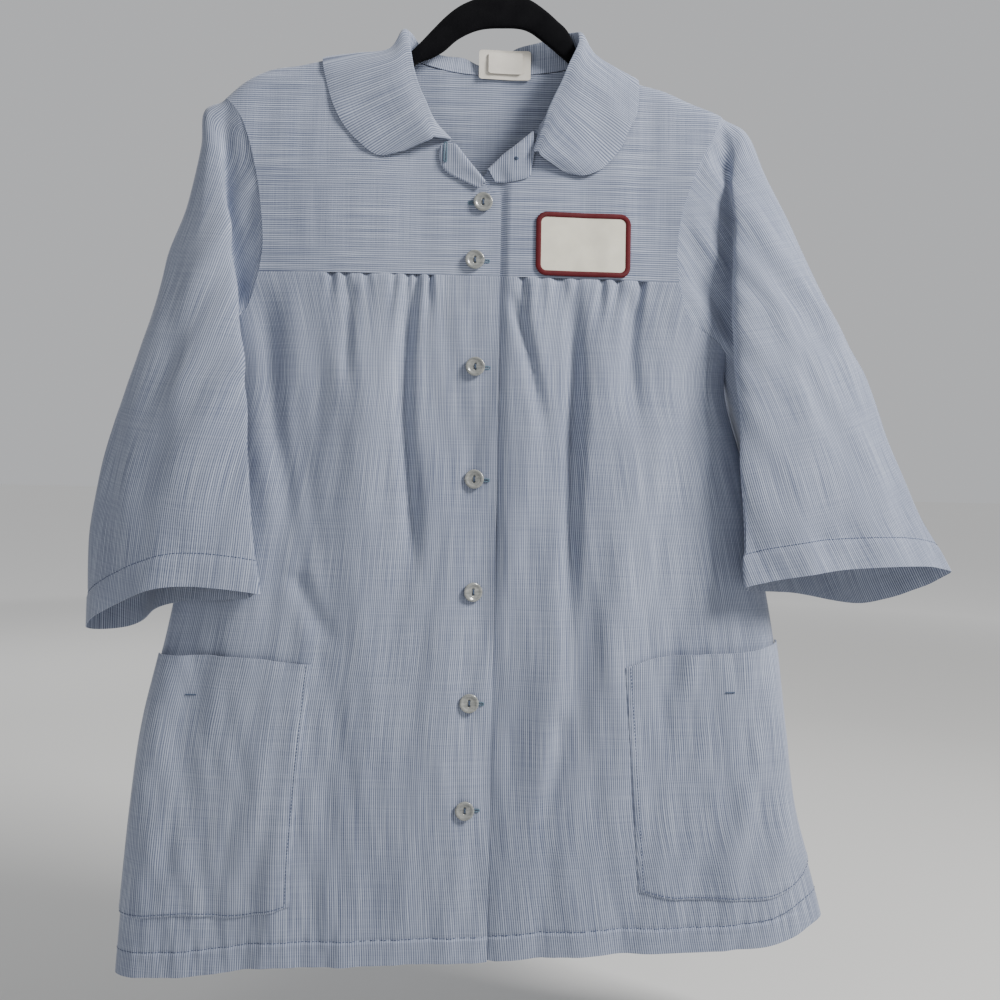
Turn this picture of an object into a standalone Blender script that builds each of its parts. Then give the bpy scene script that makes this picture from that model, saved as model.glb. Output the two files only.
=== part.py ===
"""Uniform smock on a slim hanger.

A hip-length, button-front smock with front and back yokes, gathered panels, wide set-in sleeves,
a round collar and two patch pockets, hung on a flat flocked hanger with a wire hook.

Lengths in the tables are millimetres and become metres where a mesh is made. +X is the wearer's
left, -Y the front, +Z up. The origin is the hook's seat, so a `drop` is a distance below it.
"""
import math

import bpy
import numpy as np

MM = 0.001            # one millimetre in metres

WALL = 1.5            # thickness of one wall of cloth
SEAM = 0.3            # gap between two pieces that are sewn together
LAYER = 0.45          # gap between a panel and what lies on it
TURN = 0.004          # parameter step for normals

YOKE_DROP = 298.0     # front yoke seam below the hook's seat
LAP_DROP = 229.0      # where the two fronts close
LAP_EDGE = 5.0        # edge of the upper front past the centre
UNDERLAP = -27.0      # edge of the lower front under it
LAP_STEP = 3.1        # how far the lower front lies behind the upper one
LAP_FADE = 8.0        # across which it comes forward again
RIDGE_FALL = 7.0      # how quickly the cloth turns over the hanger
SQUARENESS = 2.5      # exponent of the body's oval

BUTTON_RADIUS = 7.95
BUTTON_THICK = 2.6
PATCH_SIZE = (79.0, 53.0)
PATCH_CENTRE = (73.5, 270.7)
PATCH_CORNER = 9.0
PATCH_BORDER = 4.2

HANGER_HALF = 2.75    # half the hanger's thickness
HOOK_RADIUS = 21.0    # of the wire's middle line
HOOK_WIRE = 1.6       # the wire's own radius

HEM_DROP = 866.0      # middle of the hem
HOLE_TOP = 154.0      # armhole seams on the shoulder ridge
SEAM_OVER = 0.05      # the shoulder seam's half gap, as steps over the ridge
SIDE_TRIM = 0.0016    # the side seam's half gap, as an angle
LAP_COLUMNS = np.array([UNDERLAP, -19.0, -12.0, -6.0, 0.0, LAP_EDGE])
YOKE_COLUMNS = 13
PANEL_DROPS = np.array([
    YOKE_DROP + SEAM / 2, 304, 316, 345, 362, 377, 392, 430, 480, 545, 620, 700, 785, HEM_DROP])
HANG_START = 400.0    # below this the rows lean towards the hem's line


def columns(names, rows):
    """A short table: a dict of arrays, one for each named column."""
    return dict(zip(names.split(), np.array(rows, float).T))


# The body's sides and depths at each drop. Above the underarm the sides run on past the armholes.
BODY = columns("drop left right front back middle", [
    (100, -330, 320, 8, 9, 0),
    (150, -312, 300, 12, 11, 0),
    (200, -290, 275, 19, 13, 0),
    (250, -262, 243, 24, 15, 0),
    (298, -243, 220, 27, 17, -1),
    (340, -229, 206, 29, 19, -3),
    (378, -222, 199, 31, 21, -5),
    (450, -237, 217, 33, 24, -6),
    (520, -252, 232, 35, 26, -7),
    (600, -268, 248, 37, 28, -8),
    (675, -286, 259, 38, 30, -8),
    (750, -296, 271, 39, 31, -9),
    (800, -301, 286, 39, 32, -9),
    (845, -305, 299, 38, 32, -9),
    (895, -309, 312, 37, 32, -9)])

# Top line of the shoulders, from the wearer's right to the left.
RIDGE = columns("x drop", [
    (-250, 182), (-225, 154), (-208, 139), (-191, 130), (-163, 124), (-143, 119), (-110, 113.5),
    (-77, 108), (0, 104), (70, 108), (80, 111.5), (95, 118), (119, 129), (139, 134), (164, 144), (191, 154),
    (206, 162), (225, 178)])

# Armhole seams at the front, and how much wider the back stands. Seams run straight from knot to knot.
ARMHOLE_RIGHT = columns("drop x back", [
    (154, -225, 0), (156, -223, 0.3), (160, -219, 0.9), (166, -214, 1.8), (174, -209.3, 3.2),
    (184, -205.4, 5), (211, -198.1, 7.6), (246, -192.4, 9.2), (282, -190.7, 10), (298, -193.2, 9),
    (316, -198, 7), (345, -209, 4), (362, -215, 2), (377, -221.3, 0)])
ARMHOLE_LEFT = columns("drop x back", [
    (154, 191, 0), (156, 190.1, 0.5), (160, 188.5, 1.4), (166, 185.9, 2.8), (174, 182.5, 4.7),
    (184, 177.7, 7.4), (211, 165.9, 13.4), (246, 155.5, 18), (282, 153, 20), (298, 154.9, 19.4),
    (316, 159.1, 18), (345, 170, 14), (362, 180, 10), (377, 198.3, 0)])

# Neck edges of the two fronts, down to where they close.
NECK_RIGHT = columns("drop x", [
    (108, -77), (125, -74), (142, -69), (160, -60), (174, -50), (189, -36), (204, -24), (217, -13),
    (229, -4)])
NECK_LEFT = columns("drop x", [
    (111, 79), (122, 72), (134, 62), (150, 50), (170, 38.5), (186, 22), (204, 1), (217, -12),
    (229, -27)])
NECK_BACK = columns("x drop", [
    (-77, 108), (-66, 115), (-43, 121), (-14, 124), (29, 122), (44, 120), (64, 116), (79, 111)])

# Lower edge of the body.
HEM = columns("x drop", [
    (-309, 888), (-286, 886), (-243, 882), (-207, 876), (-182, 871.5), (-142, 870), (-93, 868),
    (-40, 866), (5, 865), (52, 861), (99, 859), (177, 859), (218, 858), (241, 856), (264, 851),
    (283, 843), (303, 836)])

# Sleeve sections from the head to the hem: drops of the seam, fold, front, outer and rear lines,
# then where each runs. The first rows start on the armhole, the last ones on the underarm seam.
SLEEVE_NAMES = ("seam_d fold_d front_d outer_d rear_d in_x in_y val_x val_y fold_x fold_y "
                "front_x front_y outer_x outer_y rear_x rear_y near_x near_y")
SLEEVE_RIGHT = columns(SLEEVE_NAMES, [
    (184, 175, 168, 164, 170, 0, 0, -224, -8, -232, -9, -237.5, -6, -240, 1, -236, 7, -225, 9),
    (211, 205, 198, 195, 200, 0, 0, -223, -9, -226.5, -14, -237, -13, -243, -1, -237, 9, -223, 11),
    (246, 246, 243, 242, 245, 0, 0, -222, -9, -220, -21, -240, -21, -254, -2, -243, 11, -224, 13),
    (282, 283, 283, 284, 284, 0, 0, -217, -11, -214.5, -27, -243, -28, -270, -5, -252, 12, -226, 14),
    (298, 300, 301, 303, 302, 0, 0, -215, -12, -212, -29, -244, -31, -275, -6, -254, 12, -228, 14),
    (316, 318, 320, 324, 322, 0, 0, -212.5, -14, -210, -32, -245, -34, -281, -6, -257, 12, -229, 13),
    (330, 333, 335, 341, 338, 0, 0, -210.5, -20, -208, -34, -246, -36.5, -286, -7, -260, 11.5, -231, 12),
    (345, 348, 350, 358, 354, 0, 0, -208.5, -27, -205.5, -36, -247, -39, -291, -8, -263, 11, -234, 11),
    (362, 364, 366, 376, 370, 0, 0, -211.5, -28, -203, -38, -248, -41, -296, -9, -266, 10, -236, 9),
    (377, 378, 380, 392, 386, 0, 0, -217, -28, -202, -40, -248, -43, -301, -10, -269, 9, -238, 7),
    (389, 390, 393, 408, 402, -224.5, -15, -217, -31, -201, -41.5, -249, -45, -306, -10, -271, 8,
     -236, -3),
    (404, 406, 408, 424, 418, -214, -32, -207, -34, -197.5, -43, -250, -47, -311, -11, -274, 6, -234, -12),
    (442, 444, 446, 466, 456, -206, -36, -201, -38, -194, -47, -252, -51, -323, -12, -280, 3, -242, -17),
    (482, 484, 484, 510, 500, -202, -39, -198, -42, -191.5, -50, -255, -53, -331, -13, -287, 1, -250, -20),
    (524, 524, 522, 554, 548, -198, -41, -194, -44, -188, -52, -258, -55, -333, -14, -294, -1, -259, -22),
    (566, 561, 557, 596, 596, -195, -44, -191, -47, -185, -53, -262, -56, -333, -15, -300, -2, -267, -24)])
SLEEVE_LEFT = columns(SLEEVE_NAMES, [
    (184, 178, 170, 168, 174, 0, 0, 194, -8, 202, -9.5, 208, -6, 211, 1, 208, 7, 197, 9.5),
    (211, 206, 200, 202, 206, 0, 0, 195.5, -9, 198.5, -15, 213, -13, 228, -2, 219, 9, 204, 11),
    (246, 244, 240, 244, 245, 0, 0, 202.5, -9, 200, -23, 223, -22, 252, -3, 236, 11, 212, 13),
    (282, 282, 284, 290, 286, 0, 0, 203, -11, 200, -29, 234, -31, 276, -5, 252, 12, 219, 14),
    (298, 299, 301, 308, 304, 0, 0, 203, -12, 200, -31, 238, -34, 286, -6, 259, 12, 221, 14),
    (316, 318, 321, 331, 325, 0, 0, 203.5, -13, 200.5, -34, 244, -37, 300, -6, 268, 12, 224, 13),
    (330, 333, 338, 350, 344, 0, 0, 204, -15, 200.8, -36, 248.5, -39, 309, -7, 275, 11.5, 225.5, 12),
    (345, 349, 355, 368, 362, 0, 0, 204, -18, 201, -38, 253, -41, 319, -8, 282, 11, 227, 11),
    (362, 365, 372, 386, 379, 0, 0, 205.5, -21, 201.5, -39.5, 257, -42.5, 327, -8.5, 288, 11, 228, 9.5),
    (377, 379, 389, 405, 397, 0, 0, 207, -24, 202, -41, 261, -44, 335, -9, 294, 10, 229, 7),
    (390, 392, 405, 422, 413, 201.5, -17, 207, -30, 202.5, -42, 264, -45, 342, -9, 299, 10, 231, 3),
    (406, 408, 422, 440, 430, 206, -28, 209, -33, 203, -44, 268, -46, 350, -10, 305, 9, 233, -1),
    (444, 446, 454, 468, 462, 209, -32, 210, -38, 204, -47, 275, -48, 364, -11, 314, 7, 240, -5),
    (480, 482, 484, 491, 494, 211, -36, 211.5, -42, 205.5, -50, 282, -49, 376, -12, 322, 6, 247, -9),
    (518, 518, 512, 515, 532, 213, -40, 213, -45, 207.5, -52, 290, -49, 390, -12, 330, 5, 253, -12),
    (554, 550, 534, 538, 568, 216, -42, 215.5, -47, 209.5, -53, 298, -49, 402, -12, 338, 4, 262, -14)])
SLEEVE_STEPS = (2, 2, 3, 4, 4, 4, 3, 4)   # columns between one line of a section and the next
ON_ARMHOLE = 10        # sleeve rows whose ends lie on the armhole
TURN_UNDER = (318.0, 352.0)   # between these drops the sleeve's edge turns under the arm
UNDERARM_EASE = 0.8   # extra gap at the lowest point of the armhole
HEAD_DEPTH = 20.0     # the sleeve head's first row reaches this far down the armhole

# Long soft folds of the fronts and the back. Each runs through three places.
FOLDS = columns("face x1 drop1 x2 drop2 x3 drop3 depth width", [
    (-1, -117, 300, -118, 345, -119, 400, -3.0, 7),
    (-1, -67, 300, -71, 385, -57, 575, -7.0, 9),
    (-1, -96, 330, -104, 500, -110, 800, 4.5, 22),
    (-1, -188, 305, -176, 420, -163, 520, -4.5, 13),
    (-1, -160, 540, -142, 577, -126, 610, -2.5, 13),
    (-1, 14, 306, 32, 372, 46, 440, -4.0, 7),
    (-1, 68, 300, 68, 450, 66, 660, -7.0, 9),
    (-1, 64, 650, 58, 705, 44, 775, -3.5, 9),
    (-1, 98, 330, 102, 500, 106, 820, 4.0, 22),
    (-1, 115, 302, 116, 355, 118, 430, -4.0, 10),
    (-1, -30, 420, -32, 600, -34, 840, 3.0, 20),
    (1, -84, 300, -90, 450, -98, 700, -6.0, 12),
    (1, -42, 300, -46, 420, -50, 640, -5.0, 11),
    (1, -4, 300, -2, 480, 2, 760, -6.0, 12),
    (1, 36, 300, 38, 400, 42, 610, -5.0, 11),
    (1, 78, 300, 84, 470, 92, 720, -6.0, 12)])

# Where the panels are gathered into the yokes.
GATHERS = columns("face start end count height fade", [
    (-1, -134, -49, 9, 2.4, 38),
    (-1, 30, 118, 9, 2.4, 38),
    (1, -96, 90, 10, 2.2, 34)])

# The collar from the wearer's right corner round the back to the left one. Neck gives the place on
# the seam (face -1 in front), roll the crease at the top, edge the free edge; sag moves the fall.
COLLAR = columns("face neck_x neck_drop roll_x roll_drop roll_y edge_x edge_drop edge_y "
                 "sag_x sag_y sag_z", [
    (-1, 0, 187, -48, 186, -23.6, -76, 197.5, -20.9, 0, -3, 0),
    (-1, 0, 175, -52.5, 172, -22.0, -97, 201.5, -21.1, 0, -3, 0),
    (-1, 0, 162, -58, 157, -19.9, -114, 190, -19.5, 0, -3, 0),
    (-1, 0, 148, -64, 144, -18.0, -127, 175, -17.3, 0, -3, 0),
    (-1, 0, 134, -68.5, 130, -16.2, -136, 157, -14.8, 0, -3, -1),
    (-1, 0, 120, -72, 112, -12.0, -141.5, 138.7, -12.5, 0, -3, -3),
    (-1, 0, 112, -75, 98, -5.0, -144.2, 126.4, -10.2, 0, -2, -7),
    (-1, 0, 109.5, -75.8, 94, -2.5, -145.2, 119.4, -5.8, 0, -3.2, -10),
    (-1, -77, 0, -76, 91, 0.0, -145.5, 117.2, 0.0, 0, 0, -11),
    (1, -76.5, 0, -74.5, 91, 3.0, -144.9, 119.6, 6.3, 0, 3, -10),
    (1, -75, 0, -72, 92, 6.0, -141.1, 128.3, 10.9, 0, 3, -7),
    (1, -66, 0, -62, 102, 13.0, -112, 150, 18.0, 0, 3, -2),
    (1, -46, 0, -44, 107, 13.0, -74, 163, 20.0, 0, 3, 0),
    (1, -29, 0, -28, 108, 13.5, -42, 170, 21.0, 0, 3, 0),
    (1, -13, 0, -13, 114, 13.0, -16, 172, 21.0, 0, 3, 0),
    (1, 2, 0, 2, 110, 13.0, 8, 172, 21.0, 0, 3, 0),
    (1, 16, 0, 16, 99, 13.0, 32, 170, 21.0, 0, 3, 0),
    (1, 36, 0, 36, 93, 12.0, 62, 163, 20.0, 0, 3, 0),
    (1, 56, 0, 54, 87.5, 9.0, 96, 152, 18.0, 0, 3, -2),
    (1, 69, 0, 61, 86.5, 6.0, 112.2, 135.9, 11.4, 2, 2, -4),
    (1, 74, 0, 65, 87, 3.2, 117.1, 128.4, 6.5, 1, 3, -9),
    (-1, 79, 0, 67.5, 88, 0.0, 118.8, 126.4, 0.0, 4, 0, -11.6),
    (-1, 0, 112.3, 68, 91, -2.5, 119.2, 129.2, -6.5, 4, -3, -9),
    (-1, 0, 115, 68, 97.5, -7.0, 119.2, 136.7, -11.0, 3, -2, -4),
    (-1, 0, 119, 66, 104, -11.0, 119.1, 147.1, -13.3, 0, -3, -3),
    (-1, 0, 128, 59, 120, -16.0, 117, 160, -15.2, 0, -3, -1),
    (-1, 0, 138, 53, 135, -17.5, 112, 170, -17.0, 0, -3, 0),
    (-1, 0, 149, 47, 148, -19.0, 104, 188, -19.4, 0, -3, 0),
    (-1, 0, 158, 42, 160, -20.6, 91, 204, -21.4, 0, -3, 0),
    (-1, 0, 164, 39, 170, -21.8, 84, 209, -22.0, 0, -3, 0),
    (-1, 0, 168, 35, 183, -23.2, 72, 213, -22.6, 0, -3, 0),
    (-1, 0, 171, 31, 195, -24.6, 58, 211.5, -22.8, 0, -2, 0)])
NECK_SEAM = 0.8       # gap between the neck edge and what is sewn to it
COLLAR_WALL = 1.2     # the collar's and the turned corners' own thickness
COLLAR_SPANS = (0.2, 0.6)   # where the fall's two middle lines lie between roll and edge
ROLL_WIDTH = 3.6            # across the top of the roll
STAND_SHARE = 0.45          # where the stand's middle line lies between seam and roll

# The turned-back corners: place on the neck edge, then the free edge.
LAPEL_RIGHT = columns("neck_drop edge_x edge_drop", [
    (222, -14, 227), (215, -27, 221), (207, -42, 213), (199, -47, 203), (191, -46.5, 192)])
LAPEL_LEFT = columns("neck_drop edge_x edge_drop", [
    (178, 32, 195), (184, 30, 206), (190, 28, 215), (198, 17, 219.5), (206, 7, 221), (211, 0, 221)])
LAPEL_ROLL = 3.6      # how far a corner's crease stands in front of the yoke
LAPEL_REST = (3.1, 2.4)   # the same for the middle and the free edge
LAPEL_LEAN = 0.4      # how far the crease leans into the opening

# The patch pockets: share from the inner edge (0) to the side seam (1), then top and bottom drops.
POCKET_RIGHT = columns("share top low_share bottom", [
    (0, 619, 0, 819), (0.08, 618, 0.083, 825), (0.2, 615, 0.185, 830), (0.4, 614, 0.384, 831),
    (0.7, 616, 0.72, 836), (1, 617, 1, 837)])
POCKET_LEFT = columns("share top low_share bottom", [
    (0, 618, 0, 807), (0.11, 611, 0.096, 813), (0.27, 608, 0.265, 815), (0.53, 606, 0.485, 816),
    (0.71, 603, 0.864, 797), (1, 599, 1, 790)])
POCKET_INNER_RIGHT = columns("drop x", [(619, -143), (661, -147), (730, -153), (787, -157), (821, -158)])
POCKET_INNER_LEFT = columns("drop x", [(618, 114), (675, 119), (732, 124), (809, 131)])
POCKET_OUTER = 1.50   # angle of the pockets' outer edge
POCKET_LIFT = 0.6     # gap under a pocket's sewn edge
POCKET_BULGE = 6.5    # how far a pocket's mouth stands open
POCKET_ROWS = np.array([0.0, 0.04, 0.12, 0.25, 0.42, 0.62, 0.82, 1.0])
POCKET_COLUMNS = 11

BUTTONS = columns("x drop", [
    (-10, 238), (-16, 286), (-14, 374), (-13, 466), (-13, 558), (-14, 649), (-16, 737)])
BUTTON_PROFILE = columns("radius height", [
    (6.9, 0.0), (BUTTON_RADIUS, 0.9), (7.4, 2.4), (6.2, BUTTON_THICK), (5.0, 1.8)])
BUTTON_STEPS = 14
BUTTON_HOLE = 0.95    # radius of a thread hole
BUTTON_REST = 0.7     # gap between a button and the cloth
BUTTON_SPREAD = 2.1   # of a hole from the button's centre
HOLE_STEPS = 6

PATCH_THICK = 1.0
PATCH_ARC = 5         # points on each rounded corner
BORDER_THICK = 1.7
BORDER_EDGE = 0.7     # height of the border's shoulders, as a share of its middle's
BORDER_SLOPE = 0.3    # how far its outer side leans in
FIELD_RINGS = (0.02, 0.55, 1.0)   # the plain field's loops, from the middle out

LABEL_X = (-15.0, 29.0)
LABEL_DROP = (102.0, 127.0)
LABEL_THICK = 1.0
LABEL_GAP = 1.3       # between the label and the back yoke
LABEL_LEAN = 2.0      # how far the label's top leans back

# The hanger's top and bottom lines.
HANGER = columns("x top bottom", [
    (-206, 149, 154), (-203, 141, 159), (-191, 134.5, 158), (-163, 128, 151), (-143, 122.8, 146),
    (-110, 117.2, 140), (-90, 114, 135), (-76, 112.2, 127), (-66, 103, 118.5), (-54, 90, 113.5),
    (-45, 80.5, 108), (-35, 72, 99), (-22, 65, 91.5), (3, 60, 87), (28, 63.5, 90), (37, 69, 96),
    (49, 78.5, 105), (61, 91, 115), (66.5, 103, 121), (70, 112, 126), (77, 117.5, 131), (95, 122.5, 139),
    (119, 133, 151), (139, 138, 157), (164, 148, 166), (188, 159, 173), (200, 167, 176),
    (205, 172, 176.5)])
HANGER_CHAMFER = 2.0

HOOK_TURN = (200.0, -50.0)   # from the tip over the top, in degrees
HOOK_STEPS = 18
HOOK_STEM = columns("x drop", [(8, 40.5), (4.2, 45.5), (3, 51), (3, 59.7)])
HOOK_SIDES = 8


def smooth(at, knots, values):
    """Cubic curve through the table's values, straight on past its ends."""
    at = np.asarray(at, float)
    slope = np.gradient(values, knots)
    inside = np.clip(at, knots[0], knots[-1])
    i = np.clip(np.searchsorted(knots, inside, side="right") - 1, 0, len(knots) - 2)
    span = knots[i + 1] - knots[i]
    f = (inside - knots[i]) / span
    curve = (values[i] * (2 * f ** 3 - 3 * f ** 2 + 1) + values[i + 1] * (3 * f ** 2 - 2 * f ** 3)
             + span * (slope[i] * (f ** 3 - 2 * f ** 2 + f) + slope[i + 1] * (f ** 3 - f ** 2)))
    end = np.where(at < knots[0], slope[0], slope[-1])
    return curve + (at - inside) * end


def ease(f):
    """Smooth step from 0 to 1."""
    f = np.clip(f, 0, 1)
    return f * f * (3 - 2 * f)


def folds(face, x, drop):
    """How far the cloth stands out at a place, from its long folds and its gathers."""
    out = np.zeros(np.broadcast(x, drop).shape)
    for i in np.flatnonzero(FOLDS["face"] == face):
        row = {name: FOLDS[name][i] for name in FOLDS}
        knots = np.array([row["drop1"], row["drop2"], row["drop3"]])
        line = smooth(drop, knots, np.array([row["x1"], row["x2"], row["x3"]]))
        along = np.clip((drop - knots[0]) / (knots[2] - knots[0]), 0, 1)
        swell = ease(along * 5) * ease((1 - along) * 2.5)
        out = out + row["depth"] * swell * np.exp(-((x - line) / row["width"]) ** 2)
    for i in np.flatnonzero(GATHERS["face"] == face):
        row = {name: GATHERS[name][i] for name in GATHERS}
        place = (x - row["start"]) / (row["end"] - row["start"])
        wave = 0.5 - 0.5 * np.cos(2 * math.pi * row["count"] * np.clip(place, 0, 1))
        uneven = 0.75 + 0.25 * np.sin(7.0 * place + 1.0)
        fade = np.exp(-np.maximum(drop - YOKE_DROP, 0) / row["fade"])
        out = out + row["height"] * wave * uneven * fade
    return out


def body(angle, drop, folded=1.0, under=0.0):
    """The garment's outer face: angle 0 is the front, a quarter turn the wearer's left side."""
    left, right = smooth(drop, BODY["drop"], BODY["left"]), smooth(drop, BODY["drop"], BODY["right"])
    across, ahead = np.sin(angle), np.cos(angle)
    x = (left + right) / 2 + (right - left) / 2 * across
    round_off = np.maximum(1 - np.abs(across) ** SQUARENESS, 0) ** (1 / SQUARENESS)
    ridge = smooth(x, RIDGE["x"], RIDGE["drop"])
    over = np.sqrt(1 - np.exp(-np.maximum(drop - ridge, 0) / RIDGE_FALL))
    front = smooth(drop, BODY["drop"], BODY["front"]) * round_off * over
    back = smooth(drop, BODY["drop"], BODY["back"]) * round_off * over
    calm = ease(round_off * 1.6 - 0.1) * folded
    front = front + folds(-1, x, drop) * calm
    back = back + folds(1, x, drop) * calm
    front = front - under * LAP_STEP * (1 - ease((x - LAP_EDGE) / LAP_FADE))
    y = smooth(drop, BODY["drop"], BODY["middle"]) + np.where(ahead >= 0, -front, back)
    return np.stack(np.broadcast_arrays(x, y, -drop), axis=-1)


def angle_at(x, drop, face):
    """The body's angle where the front (-1) or the back (1) passes x."""
    left, right = smooth(drop, BODY["drop"], BODY["left"]), smooth(drop, BODY["drop"], BODY["right"])
    across = np.clip((x - (left + right) / 2) / ((right - left) / 2), -1, 1)
    turn = np.arcsin(across)
    return turn if face < 0 else math.pi - turn


def normals(surface, a, b):
    """Outward unit normals of a surface of two parameters, by central differences."""
    da = surface(a + TURN, b) - surface(a - TURN, b)
    db = surface(a, b + TURN) - surface(a, b - TURN)
    n = np.cross(db, da)
    return n / np.maximum(np.linalg.norm(n, axis=-1, keepdims=True), 1e-9)


def grid_normals(points):
    """Unit normals of a grid of points, from its own neighbours."""
    n = np.cross(np.gradient(points, axis=1), np.gradient(points, axis=0))
    return n / np.maximum(np.linalg.norm(n, axis=-1, keepdims=True), 1e-9)


def clear_scene():
    """Start from nothing."""
    for thing in list(bpy.data.objects):
        bpy.data.objects.remove(thing, do_unlink=True)


def finish(name, colour, roughness, metallic=0.0):
    """A plain material."""
    material = bpy.data.materials.new(name)
    material.use_nodes = True
    shader = material.node_tree.nodes["Principled BSDF"]
    shader.inputs["Base Color"].default_value = (*colour, 1.0)
    shader.inputs["Roughness"].default_value = roughness
    shader.inputs["Metallic"].default_value = metallic
    return material


def add_mesh(name, points, faces, material, smooth_angle=50.0):
    """One named object from points in millimetres."""
    mesh = bpy.data.meshes.new(name)
    mesh.from_pydata((np.asarray(points) * MM).tolist(), [], faces)
    mesh.materials.append(material)
    mesh.shade_smooth()
    mesh.set_sharp_from_angle(angle=math.radians(smooth_angle))
    thing = bpy.data.objects.new(name, mesh)
    SMOCK.objects.link(thing)
    return thing


def strip_faces(rows, cols, start, flip=False):
    """Quads of one grid whose points are numbered from start, all split along the same diagonal."""
    faces = []
    for r in range(rows - 1):
        for c in range(cols - 1):
            a = start + r * cols + c
            b, d = (a + cols, a + 1) if flip else (a + 1, a + cols)
            faces.append((a, b, a + cols + 1, d))
    return faces


def wall(name, outer, inner, material):
    """A closed wall between an outer and an inner grid of the same size."""
    rows, cols = outer.shape[:2]
    count = rows * cols
    facing = np.cross(outer[:-1, 1:] - outer[:-1, :-1], outer[1:, :-1] - outer[:-1, :-1])
    outward = (facing * (outer - inner)[:-1, :-1]).sum() > 0
    faces = strip_faces(rows, cols, 0, not outward) + strip_faces(rows, cols, count, outward)
    rim = ([c for c in range(cols - 1)] + [r * cols + cols - 1 for r in range(rows - 1)]
           + [(rows - 1) * cols + c for c in range(cols - 1, 0, -1)]
           + [r * cols for r in range(rows - 1, 0, -1)])
    for a, b in zip(rim, rim[1:] + rim[:1]):
        quad = (b, a, a + count, b + count)
        faces.append(quad if outward else quad[::-1])
    return add_mesh(name, np.vstack([outer.reshape(-1, 3), inner.reshape(-1, 3)]), faces, material)


def panel_wall(name, angle, drop, material, lift=0.0, thickness=WALL, folded=1.0, under=0.0):
    """A wall of cloth on the body's outer face, moved out by lift."""
    def surface(a, d):
        return body(a, d * 100.0, folded, under)
    points = surface(angle, drop / 100.0)
    n = normals(surface, angle, drop / 100.0)
    lift = np.asarray(lift, float)[..., None] if np.ndim(lift) else lift
    return wall(name, points + n * lift, points + n * (lift - thickness), material)


def shoulder(x, over, under=0.0):
    """The outer face near the ridge; over grows from the ridge down the front, and below 0 the back."""
    drop = smooth(x, RIDGE["x"], RIDGE["drop"]) + over ** 2
    front = body(angle_at(x, drop, -1), drop, 0.0, under)
    back = body(angle_at(x, drop, 1), drop, 0.0, 0.0)
    points = np.where((over >= 0)[..., None], front, back)
    points[..., 0] = x
    return points


def shoulder_wall(name, x, drop, face, material, under=0.0):
    """A wall of cloth that reaches up to the ridge."""
    ridge = smooth(x, RIDGE["x"], RIDGE["drop"])
    over = -face * np.sqrt(np.maximum(drop - ridge, SEAM_OVER ** 2))
    def surface(a, b):
        return shoulder(a * 100.0, b, under)
    n = normals(surface, x / 100.0, over)
    points = surface(x / 100.0, over)
    return wall(name, points, points - n * WALL, material)


def armhole(table, drop, face):
    """Where the armhole seam runs: x at a drop, on the front (-1) or the back (1)."""
    side = np.sign(table["x"][0])
    x = np.interp(drop, table["drop"], table["x"])
    return x + (side * np.interp(drop, table["drop"], table["back"]) if face > 0 else 0.0)


def yoke_rows(hole):
    """Drops of a yoke's rows at the armhole, which are the seam's own knots, and their share."""
    drops = hole["drop"][hole["drop"] <= YOKE_DROP].copy()
    drops[-1] -= SEAM / 2
    return drops[:, None], ((drops - drops[0]) / (drops[-1] - drops[0]))[:, None]


def front_yoke(name, side, material):
    """One front yoke, between the neck edge, the armhole, the shoulder ridge and the yoke seam."""
    right = side < 0
    hole, neck = (ARMHOLE_RIGHT, NECK_RIGHT) if right else (ARMHOLE_LEFT, NECK_LEFT)
    across = np.linspace(0, 1, YOKE_COLUMNS)[None, :]
    outer_drop, down = yoke_rows(hole)
    neck_top = neck["drop"][0]
    inner_drop = neck_top + (outer_drop[-1] - neck_top) * down ** 0.8
    centre = LAP_EDGE if right else UNDERLAP
    inner_x = np.where(inner_drop < LAP_DROP, smooth(inner_drop, neck["drop"], neck["x"]), centre)
    outer_x = armhole(hole, outer_drop, -1) - side * SEAM / 2
    x = inner_x + (outer_x - inner_x) * across
    drop = follow_ridge(x, inner_drop + (outer_drop - inner_drop) * across, down)
    shoulder_wall(name, x, drop, -1, material, 0.0 if right else 1.0)


def follow_ridge(x, drop, down):
    """Bend a yoke's upper rows to the shoulder's line, and leave their ends where they are."""
    ridge = smooth(x, RIDGE["x"], RIDGE["drop"])
    share = (x - x[:, :1]) / (x[:, -1:] - x[:, :1])
    chord = ridge[:, :1] + (ridge[:, -1:] - ridge[:, :1]) * share
    bent = drop + (ridge - chord) * np.maximum(1 - 1.2 * down, 0) ** 2
    return np.where(down == 0, ridge, np.maximum(bent, ridge))


def back_yoke(material):
    """The back yoke, one piece from armhole to armhole."""
    across = np.linspace(-1, 1, 2 * YOKE_COLUMNS + 5)[None, :]
    level, down = yoke_rows(ARMHOLE_RIGHT)
    low = armhole(ARMHOLE_RIGHT, level, 1) + SEAM / 2
    high = armhole(ARMHOLE_LEFT, level, 1) - SEAM / 2
    x = (low + high) / 2 + (high - low) / 2 * across
    start = x[:1]
    neck = smooth(start, NECK_BACK["x"], NECK_BACK["drop"])
    ridge = smooth(start, RIDGE["x"], RIDGE["drop"])
    inside = (start > NECK_BACK["x"][0]) & (start < NECK_BACK["x"][-1])
    top = np.where(inside, np.maximum(neck, ridge), ridge)
    drop = top + (level[-1] - top) * down
    shoulder_wall("back_yoke", x, drop, 1, material)


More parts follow.
